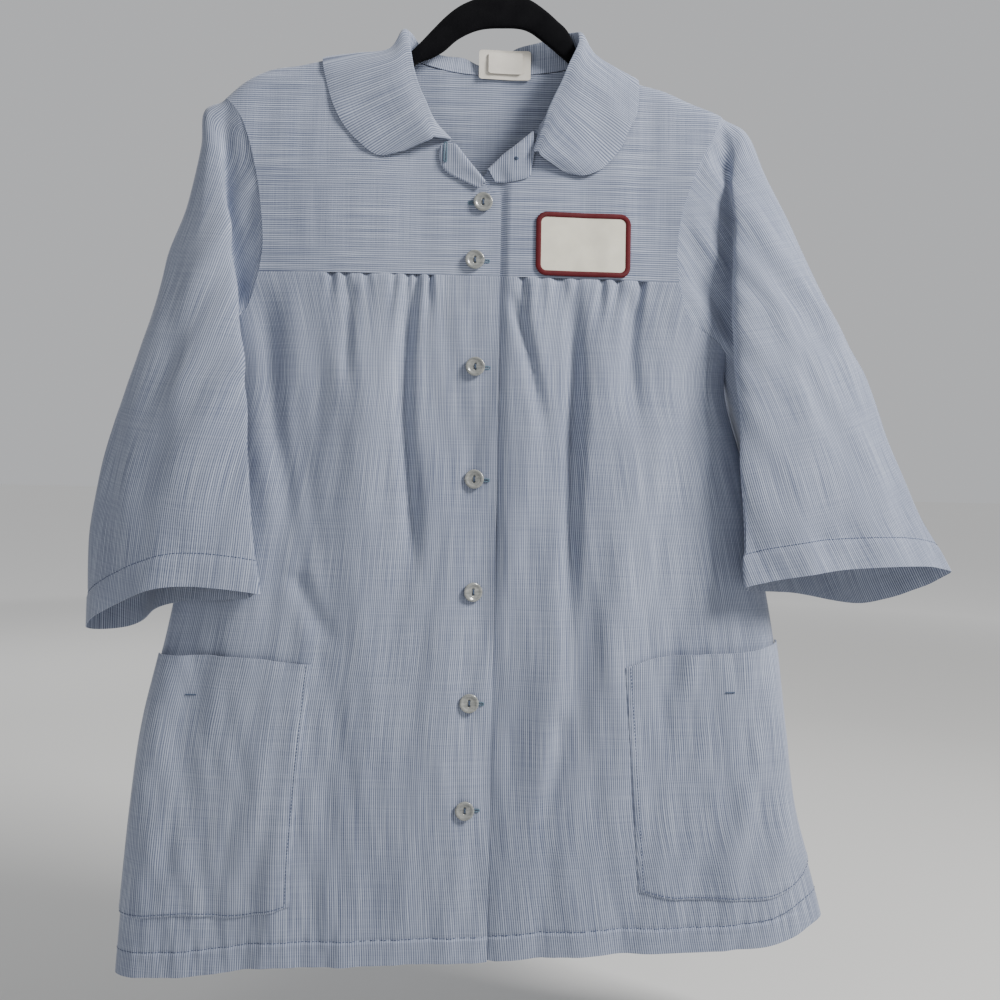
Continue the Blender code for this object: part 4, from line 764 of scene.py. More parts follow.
@dataclass(frozen=True)
class Maker:
    """Puts finished meshes into the scene and ties them to the frame."""

    smooth_angle: float = 60.0

    def mesh(self, name: str, points: Array, faces: list, material: Material,
             slot: str = "chambray", nodes: tuple[str, ...] = (),
             weave: Array | None = None) -> None:
        """One piece from points in millimetres, which rides on the only body.

        Args:
            name: the piece's name.
            points: one point a row.
            faces: lists of places in points.
            material: its finish.
            slot: the record's slot for that finish; it is not used.
            nodes: the plain nodes that the piece stands for.
            weave: places in the cloth for each point, across and along the grain.
        """
        mesh = bpy.data.meshes.new(name)
        mesh.from_pydata((points * MM).tolist(), [], faces)
        if weave is not None:
            layer = mesh.uv_layers.new(name="weave")
            corner = np.empty(len(mesh.loops), int)
            mesh.loops.foreach_get("vertex_index", corner)
            layer.data.foreach_set("uv", (weave[corner] * MM).ravel())
        mesh.materials.append(material)
        mesh.shade_smooth()
        mesh.set_sharp_from_angle(angle=math.radians(self.smooth_angle))
        piece = new_object(name, mesh)
        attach(piece, BODY_NAME)
        if nodes:
            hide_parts(*nodes)
        LOG.info("%s: %d points, %d faces", name, len(points), len(faces))

    def solid(self, name: str, bodies: list[Array], *finish: object, closed: bool = False,
              weave: Array | None = None) -> None:
        """One piece from closed bodies.

        Args:
            name: the piece's name.
            bodies: each body's loops of points.
            finish: its material, slot and nodes, as mesh() takes them.
            closed: whether each body's last loop joins its first.
            weave: places in the cloth for each point.
        """
        points, faces, start = [], [], 0
        for loops in bodies:
            some, sides = shell(loops, closed)
            faces += [[i + start for i in f] for f in outward(some, sides)]
            points.append(some)
            start += len(some)
        self.mesh(name, np.vstack(points), faces, *finish, weave=weave)

    def wall(self, name: str, outer: Array, inner: Array, weave: Array, *finish: object) -> None:
        """A closed wall between its seen face and its hidden one.

        Args:
            name: the piece's name.
            outer: rows by columns points of the seen face.
            inner: the same of the hidden face.
            weave: rows by columns places in the cloth.
            finish: its material, slot and nodes, as mesh() takes them.
        """
        quads = wall_quads(*outer.shape[:2])
        facing = np.cross(outer[:-1, 1:] - outer[:-1, :-1], outer[1:, :-1] - outer[:-1, :-1])
        if (facing * (outer - inner)[:-1, :-1]).sum() < 0:
            quads = quads[:, ::-1]
        points = np.vstack([outer.reshape(-1, 3), inner.reshape(-1, 3)])
        self.mesh(name, points, quads.tolist(), *finish,
                  weave=np.vstack([weave.reshape(-1, 2)] * 2))

    def cloth(self, node: str, outer: Array, n: Array, weave: Array, material: Material,
              inner: Array | None = None) -> None:
        """The wall of cloth that stands for one plain node and is named after it. The hidden face
        is one thickness in from the seen one, against its normals, where it isn't given."""
        inner = outer - n * CLOTH if inner is None else inner
        self.wall(f"cloth_{node}", outer, inner, weave, material, "chambray", (node,))


MAKER = Maker()


@dataclass(frozen=True)
class Armhole:
    """One armhole seam, which stands a little wider at the back."""

    side: Side
    run_in: float = 50.0  # over this height it runs into the side seam

    @property
    def top(self) -> float:
        """Drop of the seam on the shoulder ridge."""
        return float(ARMHOLES[self.side]["drop"][0])

    @property
    def foot(self) -> float:
        """Drop of the underarm."""
        return float(ARMHOLES[self.side]["drop"][-1])

    def x(self, drop: Array, face: Face) -> Array:
        """Where the seam runs at a drop."""
        t = ARMHOLES[self.side]
        wide = curve(t, "back", drop) if face is BACK else 0.0
        return curve(t, "x", drop) + self.side.value * wide

    def edge(self, drop: Array, face: Face) -> Array:
        """The body's angle at the armhole, which runs into the side seam at the underarm."""
        seam = self.side.value * math.pi / 2
        seam = seam if face is FRONT else math.pi - seam
        hole = TORSO.angle_at(self.x(drop, face), drop, face)
        return hole + (seam - hole) * ease((drop - self.foot) / self.run_in + 1)


HOLES = {side: Armhole(side) for side in Side}


@dataclass(frozen=True)
class Yokes:
    """The plain upper part: two front yokes and a back yoke, cut across the grain."""

    cloth: Material
    rows: int = 96
    cols: int = 120
    back_cols: int = 220
    lower: float = 0.6  # how far the lower edge lies past the seam
    crowd: float = 1.3  # how much closer the upper rows are
    neck_crowd: float = 0.8  # the same along the neck edge
    bend: float = 1.2  # how soon the rows below the ridge are straight
    slant: float = 0.012  # slope of the stripes

    def levels(self, hole: Armhole) -> tuple[Array, Array]:
        """Drops of the rows at the armhole, and their share of the way down."""
        down = (np.linspace(0, 1, self.rows) ** self.crowd)[:, None]
        return hole.top + (TORSO.yoke_drop + self.lower - hole.top) * down, down

    def front(self, side: Side) -> None:
        """One front yoke: straight rows from the neck edge to the armhole, bent up to the ridge."""
        hole = HOLES[side]
        neck = NECKS[side]
        across = np.linspace(0, 1, self.cols)[None, :]
        outer_drop, down = self.levels(hole)
        neck_top = neck["drop"][0]
        inner_drop = neck_top + (outer_drop[-1] - neck_top) * down ** self.neck_crowd
        inner_x = np.where(inner_drop < TORSO.lap_drop, curve(neck, "x", inner_drop),
                           TORSO.front_edge(side))
        x = inner_x + (hole.x(outer_drop, FRONT) - inner_x) * across
        drop = inner_drop + (outer_drop - inner_drop) * across
        ridge = TORSO.ridge(x)
        share = (x - x[:, :1]) / (x[:, -1:] - x[:, :1])
        chord = ridge[:, :1] + (ridge[:, -1:] - ridge[:, :1]) * share
        bent = drop + (ridge - chord) * np.maximum(1 - self.bend * down, 0) ** 2
        drop = np.where(down == 0, ridge, np.maximum(bent, ridge))
        self.dress(f"front_yoke_{side.word}", x, drop, FRONT, side.under)

    def back(self) -> None:
        """The back yoke: rows from armhole to armhole, the top one along the ridge and the neck."""
        across = np.linspace(-1, 1, self.back_cols)[None, :]
        level, down = self.levels(HOLES[RIGHT])
        low, high = (HOLES[side].x(level, BACK) for side in Side)
        x = (low + high) / 2 + (high - low) / 2 * across
        start = x[:1]
        ridge = TORSO.ridge(start)
        inside = (start > NECK_BACK["x"][0]) & (start < NECK_BACK["x"][-1])
        neck = np.maximum(curve(NECK_BACK, "drop", start, by="x"), ridge)
        top = np.where(inside, neck, ridge)
        self.dress("back_yoke", x, top + (level[-1] - top) * down, BACK)

    def dress(self, node: str, x: Array, drop: Array, face: Face, under: float = 0.0) -> None:
        """Make one yoke, whose stripes run across."""
        points, n = TORSO.shoulder_skin(x, TORSO.over(x, drop, face.value), under)
        weave = np.stack([drop + self.slant * x, x], axis=-1)
        MAKER.cloth(node, points, n, weave, self.cloth)


@dataclass(frozen=True)
class Panels:
    """The gathered lower part: two front panels and a back panel, cut with the grain."""

    cloth: Material
    top: float = 296.2  # the gathered edge, tucked in behind the yokes
    tuck: float = 1.9  # how far in
    tuck_reach: float = 3.2
    fine: float = 1.15  # row spacing near the gathers
    fine_end: float = 386.0
    middle: tuple[float, float, int] = (387.5, 838.0, 136)  # first row, last row and how many
    hem_start: float = 839.0
    hem_rows: int = 26
    front_cols: tuple[int, int, int] = (26, 76, 36)  # before, in and past the gathers
    back_cols: int = 165

    def rows(self) -> Array:
        """Drops of the rows, close together at the gathers and at the hem."""
        return np.concatenate([np.arange(self.top, self.fine_end, self.fine),
                               np.linspace(*self.middle),
                               np.linspace(self.hem_start, TORSO.hem_drop, self.hem_rows)])[:, None]

    def front(self, side: Side) -> None:
        """One front panel, from the placket edge to the armhole and the side seam."""
        right, left = GATHERS[FRONT]
        gathers = right if side is RIGHT else left
        hole = HOLES[side]
        centre = TORSO.front_edge(side)
        far = float(hole.x(np.array(TORSO.yoke_drop), FRONT))
        marks = (centre, *sorted((gathers.start, gathers.end), key=abs), far)
        parts = [np.linspace(first, last, count)[:-1]
                 for first, last, count in zip(marks, marks[1:], self.front_cols)]
        x = np.concatenate([*parts, [far]])
        angles = TORSO.angle_at(x, np.full_like(x, TORSO.yoke_drop), FRONT)
        share = ((angles - angles[0]) / (angles[-1] - angles[0]))[None, :]
        self.dress(f"front_panel_{side.word}", share,
                   lambda drop: TORSO.angle_at(centre, drop, FRONT),
                   lambda drop: hole.edge(drop, FRONT), side.under)

    def back(self) -> None:
        """The back panel, from side seam to side seam."""
        self.dress("back_panel", np.linspace(0, 1, self.back_cols)[None, :],
                   lambda drop: HOLES[LEFT].edge(drop, BACK),
                   lambda drop: HOLES[RIGHT].edge(drop, BACK))

    def dress(self, node: str, share: Array, start: Callable[[Array], Array],
              end: Callable[[Array], Array], under: float = 0.0) -> None:
        """Make one panel, whose stripes run down.

        Args:
            node: the plain node it stands for.
            share: the columns, as shares of the way from one edge to the other.
            start: the body's angle at the first edge for each drop.
            end: the same at the last edge.
            under: 1 for the front that lies beneath the other.
        """
        level = self.rows()
        drop = level + 0 * share
        for _ in range(ROUNDS):
            first = start(drop)
            angle = first + (end(drop) - first) * share
            drop = TORSO.hang(angle, level)
        points, n = TORSO.skin(angle, drop, 1.0, under)
        tucked = self.tuck * (1 - ease((drop - self.top) / self.tuck_reach))[..., None]
        points = points - n * tucked
        weave = np.stack([TORSO.run(angle), drop], axis=-1)
        MAKER.cloth(node, points, n, weave, self.cloth)


@dataclass(frozen=True)
class Sleeve:
    """One set-in sleeve, cut with the grain and hemmed."""

    side: Side
    cloth: Material
    down_steps: int = 9
    round_steps: int = 16
    head_depth: float = 20.0
    on_armhole: int = 10  # sections whose ends lie on the armhole
    valley: float = 0.7  # the valley's share of the way down from the seam to the fold
    rear: float = 0.3  # the last line's share of the way down to the rear line
    cap: float = 0.55  # the cap's share of the way from the seam to the valley
    hem_depth: float = 27.0
    sunk: float = 0.8  # how far the seam lies below the body's face
    settle: int = 12  # columns over which an edge is drawn to its seam
    cuff_rows: int = 30  # rows that tell which way is out
    outer_line: int = 5  # the line from which the stripes are measured
    calm_cols: float = 10.0  # columns beside the seam without wrinkles
    calm_top: float = 25.0  # the same below the head, as a length
    seed: int = 91

    def seam(self, drop: Array, face: Face) -> tuple[Array, Array]:
        """Points and normals of the body's face along the armhole."""
        hole = HOLES[self.side]
        x = hole.x(drop, face)
        upper, upper_n = TORSO.shoulder_skin(x, TORSO.over(x, drop, face.value))
        lower, lower_n = TORSO.skin(hole.edge(drop, face), drop)
        low = np.where(drop > TORSO.yoke_drop, 1.0, 0.0)[..., None]
        return upper * (1 - low) + lower * low, unit(upper_n * (1 - low) + lower_n * low)

    def lines(self) -> Array:
        """The sections' nine points each, from the front seam round to the back one."""
        t = SLEEVES[self.side]
        top = t["seam_d"]

        def line(name: str, drop: Array) -> Array:
            """One of the lines that run down the sleeve."""
            return spots(t[name + "_x"], t[name + "_y"], drop)

        ends = []
        for face in Face:
            seam = line("in", top)
            seam[:self.on_armhole] = self.seam(top[:self.on_armhole], face)[0]
            ends.append(seam)
        valley = line("val", top + (t["fold_d"] - top) * self.valley)
        cap = ends[0] * (1 - self.cap) + valley * self.cap
        middle = [line(name, t[name + "_d"]) for name in ("fold", "front", "outer", "rear")]
        near = line("near", top * (1 - self.rear) + t["rear_d"] * self.rear)
        return np.stack([ends[0], cap, valley, *middle, near, ends[1]], axis=1)

    def head(self, count: int) -> Array:
        """The sleeve head's top row, along the armhole over the shoulder."""
        along = np.linspace(-1, 1, count)
        hole = HOLES[self.side]
        drop = hole.top + self.head_depth * along ** 2
        x = np.where(along < 0, hole.x(drop, FRONT), hole.x(drop, BACK))
        return TORSO.shoulder(x, TORSO.over(x, drop, np.sign(along)))

    def surface(self) -> tuple[Array, Array]:
        """The seen face and its normals, before its wrinkles."""
        points = denser(self.lines(), self.round_steps, 1)
        points = np.concatenate([self.head(points.shape[1])[None], points])
        points = denser(points, self.down_steps, 0)
        foot = HOLES[self.side].foot
        fade = (1 - np.arange(self.settle) / self.settle) ** 2
        for inward, face in ((points, FRONT), (points[:, ::-1], BACK)):
            drop = -inward[:, 0, 2]
            place, n = self.seam(drop, face)
            shift = np.where((drop <= foot)[:, None], place - n * self.sunk - inward[:, 0], 0.0)
            inward[:, :self.settle] += shift[:, None] * fade[:, None]
        below = -points[:, 0, 2] > foot
        middle = (points[:, 0] + points[:, -1]) / 2
        points[below, 0] = points[below, -1] = middle[below]
        n = grid_normals(points)
        cuff = points[-self.cuff_rows:]
        n = n * np.sign((n[-self.cuff_rows:] * (cuff - cuff.mean(axis=(0, 1)))).sum())
        n[below, 0] = n[below, -1] = unit(n[below, 0] + n[below, -1])
        return points, n

    def wrinkled(self) -> tuple[Array, Array, Array]:
        """The seen face with its small wrinkles and folded hem, its normals and its weave."""
        points, n = self.surface()
        run = lengths(points, 1)
        run = run - run[:, self.outer_line * self.round_steps][:, None]
        down = lengths(points, 0)
        last = points.shape[1] - 1
        from_edge = np.minimum(np.arange(last + 1), last - np.arange(last + 1))
        calm = ease(from_edge / self.calm_cols)[None, :] * ease(down / self.calm_top)
        rumple = Rumple(self.seed + self.side.value, across=(30.0, 130.0), stretch=(2.5, 7.0),
                        height=0.75)
        hem = HEM_RELIEF(down[-1:] - down - self.hem_depth, run * 0.6 + np.sin(run * 0.09),
                         ease(from_edge / 4.0))
        out = rumple(run, down) * calm + hem
        return points + n * out[..., None], n, np.stack([run, down], axis=-1)

    def build(self) -> None:
        """Make the sleeve."""
        points, n, weave = self.wrinkled()
        MAKER.cloth(f"sleeve_{self.side.word}", points, n, weave, self.cloth)


@dataclass(frozen=True)
class NeckFinish:
    """What is sewn to the neck edge: the round collar and the two turned-back corners."""

    cloth: Material
    seam: float = 0.8
    thick: float = 1.2
    spans: tuple[float, float] = (0.2, 0.6)  # the fall's two middle lines
    roll_width: float = 3.6
    stand_share: float = 0.45
    lapel_roll: float = 3.6
    lapel_inset: float = 0.4
    lapel_rest: tuple[float, float] = (3.1, 2.4)  # how far its middle and edge stand off
    steps: int = 7  # spans between lines and between rows
    along_line: int = 3  # the line where the wrinkles are measured
    fall_line: int = 4  # the line where the stripes are
    ripple: Rumple = Rumple(12, waves=12, across=(34.0, 90.0), stretch=(1.0, 2.0), height=0.45)
    ripple_share: float = 0.8
    wide: float = 40.0  # width of a piece with whole ripples
    welt: tuple[float, float, float] = (0.22, 1.2, 1.4)  # height, place and width at the edge
    edge_round: float = 1.2  # over this width the edge is rounded
    edge_thin: float = 0.45  # by this share of the thickness

    def neck_line(self, over: Array, x: Array, under: float = 0.0) -> tuple[Array, Array, Array]:
        """Points of the neck edge, the cloth's normals there and the way into the opening."""
        points, n = TORSO.shoulder_skin(x, over, under)
        return points, n, unit(np.cross(np.gradient(points, axis=0), n))

    def turned_over(self, node: str, neck: tuple[Array, Array, Array], rise: Array,
                    lines: list, grain: Callable[[Array], Array]) -> None:
        """A wall that starts at the neck seam in the direction rise and turns over through lines.

        Args:
            node: the plain node it stands for.
            neck: points, normals and inward directions of the neck edge.
            rise: the way up from the seam at each point.
            lines: the further lines, each as points or as a function of the first line.
            grain: gives the places in the cloth of a grid of points.
        """
        points, n, inward = neck
        facing = (inward * (rise * n).sum(-1, keepdims=True)
                  - n * (rise * inward).sum(-1, keepdims=True))
        start = points + inward * self.seam + facing * self.thick
        lines = [start] + [line(start) if callable(line) else line for line in lines]
        seen = denser(denser(np.stack(lines, axis=1), self.steps, 1), self.steps, 0)
        m = grid_normals(seen)
        m = m * np.sign((m[:, 0] * denser(facing[:, None], self.steps, 0)[:, 0]).sum())
        span = lengths(seen, 1)
        around = lengths(seen[:, self.along_line * self.steps], 0)[:, None]
        whole = span[:, -1:]
        wave = self.ripple(around, span) * ease(span / whole * 2 - 0.6) * ease(whole / self.wide)
        edge = whole - span
        height, place, width = self.welt
        welt = height * bell((edge - place) / width)
        seen = seen + m * (wave * self.ripple_share + welt)[..., None]
        round_off = (1 - quarter(edge / self.edge_round)) * self.edge_thin * self.thick
        outer = seen - m * round_off[..., None]
        hidden = seen - m * (self.thick - round_off)[..., None]
        MAKER.cloth(node, outer, m, grain(seen), self.cloth, hidden)

    def collar(self) -> None:
        """The round collar: stand, roll and fall in one piece, its stripes square to the neck."""
        t = COLLAR
        x, drop = t["neck_x"].copy(), t["neck_drop"].copy()
        first_half = np.arange(len(x)) < len(x) // 2
        for side, near in ((RIGHT, first_half), (LEFT, ~first_half)):
            on = near & (t["neck_drop"] > 0)
            x[on] = curve(NECKS[side], "x", drop[on])
        behind = t["face"] > 0
        drop[behind] = curve(NECK_BACK, "drop", x[behind], by="x")
        neck = self.neck_line(TORSO.over(x, drop, t["face"]), x)
        _, n, inward = neck
        rise = np.where(behind[:, None], UP, n)
        side = np.cross(n, inward)
        rise = unit(rise - (rise * side).sum(-1, keepdims=True) * side)
        roll, edge = (spots(t[name + "_x"], t[name + "_y"], t[name + "_drop"])
                      for name in ("roll", "edge"))
        sag = spots(t["sag_x"], t["sag_y"], -t["sag_z"])
        near, far = self.spans
        fall = roll + (edge - roll) * near + sag
        crest = roll + unit((fall - roll) * np.array([1.0, 1.0, 0.0])) * self.roll_width

        def stand(start: Array) -> Array:
            """The stand's middle line."""
            return start + (roll - start) * self.stand_share + rise

        def grain(seen: Array) -> Array:
            """Along the fall's middle and across it."""
            middle = lengths(seen[:, self.fall_line * self.steps], 0)[:, None]
            return np.stack([middle + 0 * seen[..., 0], lengths(seen, 1)], axis=-1)

        lines = [stand, roll, crest, fall, roll + (edge - roll) * far + sag / 2, edge]
        self.turned_over("collar", neck, rise, lines, grain)

    def lapel(self, side: Side) -> None:
        """The top corner of one front, folded back over its yoke."""
        t = LAPELS[side]
        drop = t["neck_drop"]
        x = curve(NECKS[side], "x", drop)
        neck = self.neck_line(TORSO.over(x, drop, FRONT.value), x, side.under)
        points, n, inward = neck

        def resting(share: float, lift: float) -> Array:
            """A line of the turned corner, lying on the yoke."""
            at_x = x + (t["edge_x"] - x) * share
            at_drop = drop + (t["edge_drop"] - drop) * share
            angle = TORSO.angle_at(at_x, at_drop, FRONT)
            return TORSO.at(angle, at_drop, 0.0, side.under) + n * lift

        def grain(seen: Array) -> Array:
            """Straight down the piece."""
            return np.stack([seen[..., 0], -seen[..., 2]], axis=-1)

        roll = points + inward * self.lapel_inset + n * self.lapel_roll
        middle, edge = self.lapel_rest
        self.turned_over(f"lapel_{side.word}", neck, n,
                         [roll, resting(0.5, middle), resting(1.0, edge)], grain)


@dataclass(frozen=True)
class Pocket:
    """One patch pocket on a front panel, its mouth standing a little open."""

    side: Side
    cloth: Material
    width: float = 150.0  # rounded sizes, which turn lengths into shares
    height: float = 210.0
    outer: float = 1.50  # angle of the outer edge
    lift: float = 0.6
    bulge: float = 6.5  # how far the mouth stands open
    rows: int = 100
    cols: int = 75
    edge_rows: int = 12  # close rows at the bottom, below a share of the height
    edge_row: float = 0.965
    edge_cols: int = 9  # close columns at the inner edge, within a share of the width
    edge_col: float = 0.035
    welt: float = 0.8  # how far the turned-in edges drop
    welt_width: float = 1.8
    rumple: Rumple = Rumple(55, across=(24.0, 90.0), height=0.4)
    match: tuple[float, float] = (0.997, 11.0)  # its stripes against the panel's

    def place(self, share: Array, down: Array) -> tuple[Array, Array]:
        """The body's angle and drop at shares of the pocket across and down."""
        t = POCKETS[self.side]
        top, bottom = curve(t, "top", share, by="share"), curve(t, "bottom", share, by="low_share")
        drop = top + (bottom - top) * down
        start = TORSO.angle_at(curve(POCKET_EDGES[self.side], "x", drop), drop, FRONT)
        return start + (self.side.value * self.outer - start) * share, drop

    def skin(self, share: Array, down: Array) -> tuple[Array, Array]:
        """The pocket's seen face: the body's, moved out by its thickness, its open mouth and small
        wrinkles, with the sewn edges turned in."""
        angle, drop = self.place(share, down)
        points, n = TORSO.skin(angle, drop, 1.0, self.side.under)
        open_by = (self.bulge * np.sin(math.pi * share) ** 0.8
                   * np.maximum(1 - down, 0) ** 1.3)
        inset = np.minimum(share * self.width, (1 - down) * self.height)
        loose = ease(inset / 30.0) * ease((1 - share) * 5.0)
        pucker = np.sin(drop * 0.55 + 9 * share) * np.exp(-inset / 7.0) * 0.22
        out = (CLOTH + self.lift + open_by - self.welt * (1 - ease(inset / self.welt_width))
               - 0.3 * bell((inset - 2.6) / 0.9) + pucker
               + self.rumple(points[..., 0], drop) * loose)
        return points + n * out[..., None], n

    def build(self) -> None:
        """Make the pocket."""
        near = np.linspace(0, self.edge_col, self.edge_cols + 1)[:-1]
        share = np.concatenate([near, np.linspace(self.edge_col, 1, self.cols)])[None, :]
        down = np.concatenate([np.linspace(0, self.edge_row, self.rows),
                               np.linspace(self.edge_row + 0.002, 1, self.edge_rows)])[:, None]
        points, n = self.skin(share, down)
        angle, drop = self.place(share, down)
        scale, shift = self.match
        weave = np.stack([TORSO.run(angle) * scale + shift, drop], axis=-1)
        MAKER.cloth(f"pocket_{self.side.word}", points, n, weave, self.cloth)


@dataclass(frozen=True)
class Spot:
    """A place on the cloth with the directions across it, down it and out of it."""

    point: Array
    across: Array
    below: Array
    out: Array

    def to(self, across: Array, below: Array, out: Array | float) -> Array:
        """Points at these distances from the spot."""
        across, below, out = np.broadcast_arrays(across, below, out)
        return (self.point + across[..., None] * self.across + below[..., None] * self.below
                + out[..., None] * self.out)


def on_front(x: float, drop: float, under: float = 0.0, lift: float = 0.0) -> Spot:
    """A spot on the front, lifted off the cloth."""
    folded = 1.0 if drop > TORSO.yoke_drop else 0.0
    drop = np.array(float(drop))
    angle = np.array(TORSO.angle_at(np.array(x), drop, FRONT))
    point, out = TORSO.skin(angle, drop, folded, under)
    across = unit(np.cross(out, UP) * np.sign(np.cross(out, UP)[0]))
    below = np.cross(across, out)
    return Spot(point + out * lift, across, below * -np.sign(below[2]), out)


@dataclass(frozen=True)
class Stitches:
    """Lock stitches along a seam: short threads that rise out of the cloth and dip back."""

    thread: Material
    pitch: float = 2.9
    length: float = 2.25
    radius: float = 0.32
    height: float = 0.2
    start: float = 0.4
    shares: tuple = (0.0, 0.18, 0.5, 0.82, 1.0)  # the loops' places along a stitch,
    rises: tuple = (-0.15, 0.5, 1.0, 0.5, -0.15)  # their heights
    widths: tuple = (0.45, 0.95, 1.0, 0.95, 0.45)  # and their radii

    def loops(self, line: Array, out: Array) -> Array:
        """Loops of every stitch along a line.

        Args:
            line: points along the seam, on the cloth.
            out: the cloth's normals there.

        Returns:
            Stitches by 5 loops by 4 points by 3.
        """
        run = lengths(line, 0)
        starts = np.arange(self.start, run[-1] - self.length, self.pitch)
        at = starts[:, None] + self.length * np.array(self.shares)
        up = unit(resample(at, run, out))
        centre = resample(at, run, line) + up * (self.height * np.array(self.rises))[:, None]
        side = unit(np.cross(unit(np.gradient(centre, axis=1)), up))
        return rings(centre, self.radius * np.array(self.widths), math.pi / 4 + circle(4), side, up)

    def sew(self, name: str, seams: list[tuple[Array, Array]]) -> None:
        """One piece with the stitches of all these seams."""
        loops = np.concatenate([self.loops(line, out) for line, out in seams])
        one = loops[0].reshape(-1, 3)
        quads = np.vstack([ring_quads(5, 4, False), [[3, 2, 1, 0], [16, 17, 18, 19]]])
        quads = np.array(outward(one, quads.tolist()))
        every = np.arange(len(loops))[:, None, None] * len(one) + quads
        MAKER.mesh(name, loops.reshape(-1, 3), every.reshape(-1, 4).tolist(), self.thread)


@dataclass(frozen=True)
class Buttons:
    """Seven dished two-hole buttons, their threads and their worked buttonholes."""

    pearl: Material
    thread: Material
    dark: Material
    rest: float = 1.0
    hole: float = 0.95
    spread: float = 2.1  # from the button's middle to each hole
    pit: float = 1.3  # depth of the holes
    steps: int = 72
    profile: tuple = ((0.02, 1.55), (0.6, 1.55), (1.2, 1.55), (1.7, 1.56), (2.2, 1.57), (2.7, 1.58),
                      (3.2, 1.6), (3.8, 1.64), (4.4, 1.72), (4.9, 1.85), (5.3, 2.06), (5.7, 2.3),
                      (6.1, 2.48), (6.6, 2.58), (7.1, 2.56), (7.5, 2.4), (7.8, 2.1), (7.95, 1.6),
                      (7.9, 1.1), (7.6, 0.6), (7.1, 0.2), (6.4, 0.0), (4.0, 0.0), (0.02, 0.0))
    dish: int = 10  # points of the profile that the holes press into
    strands: tuple = (-0.45, -0.15, 0.15, 0.45)
    strand: float = 0.2  # a strand's radius
    slot_width: float = 17.0
    slot_reach: float = 3.6  # how far the buttonhole's middle lies past the button's
    slot_end: float = 1.05  # half the buttonhole's width
    cord: float = 0.62  # radius of its worked edge
    threads: int = 60  # ripples round it
    lapel_slot: tuple[float, float, float] = (-41.5, 189.5, 206.0)  # x, top and bottom

    def build(self) -> None:
        """Make every button with its thread and buttonhole."""
        for number, (x, drop) in enumerate(zip(BUTTONS["x"], BUTTONS["drop"]), start=1):
            spot = on_front(x, drop)
            self.disc(number, spot)
            self.cross(number, spot)
            reach = -self.slot_reach if number == 1 else self.slot_reach
            self.buttonhole(str(number), on_front(x + reach, drop + 0.6), self.slot_width)
        x, top, bottom = self.lapel_slot
        spot = on_front(x, (top + bottom) / 2, lift=3.0)
        self.buttonhole("lapel", Spot(spot.point, spot.below, spot.across, spot.out), bottom - top)

    def disc(self, number: int, spot: Spot) -> None:
        """One button: a turned profile with two thread holes pressed into its dish, each a bell of
        the distance from the hole's middle."""
        radius, height = np.array(self.profile).T[..., None]
        turn = circle(self.steps)
        x, y = radius * np.cos(turn), radius * np.sin(turn)
        pits = sum(bell((x ** 2 + (y - hole) ** 2) / self.hole ** 2)
                   for hole in (-self.spread, self.spread))
        pressed = np.arange(len(radius))[:, None] < self.dish
        loops = spot.to(x, y, height - self.pit * pits * pressed + self.rest)
        MAKER.solid(f"pearl_button_{number}", [loops], self.pearl, "button_plastic",
                    (f"button_{number}",))

    def cross(self, number: int, spot: Spot) -> None:
        """Four strands of thread from hole to hole, each a half wave, side by side."""
        s = np.linspace(-1, 1, 15)
        height = self.rest + 0.9 + 1.15 * np.sqrt(np.maximum(1 - s ** 4, 0))
        lines = [spot.to(beside * (1 + 0.1 * k), s * self.spread, height)
                 for k, beside in enumerate(self.strands)]
        MAKER.solid(f"button_thread_{number}",
                    [tube(line, self.strand, spot.out, 7) for line in lines], self.dark)

    def buttonhole(self, word: str, spot: Spot, length: float) -> None:
        """A worked buttonhole: a long ring of close stitches, its thickness rippling along it."""
        half, end = length / 2 - 1.1, self.slot_end
        turn = np.linspace(-math.pi / 2, math.pi / 2, 14)
        cap = np.stack([half + end * np.cos(turn), end * np.sin(turn)], axis=-1)
        side = np.linspace(1, -1, 60)[1:-1, None] * np.array([half, 0]) + np.array([0, end])
        path = np.vstack([cap, side, -cap, -side, cap[:1]])
        run = lengths(path, 0)
        s = np.linspace(0, run[-1], 5 * self.threads + 1)[:-1]
        flat = resample(s, run, path)
        radius = self.cord * (1 + 0.22 * np.sin(2 * math.pi * s / (run[-1] / self.threads)))
        loops = tube(spot.to(flat[:, 0], flat[:, 1], 0.1), radius, spot.out, 8, 0.6, closed=True)
        MAKER.solid(f"buttonhole_{word}", [loops], self.thread, closed=True)


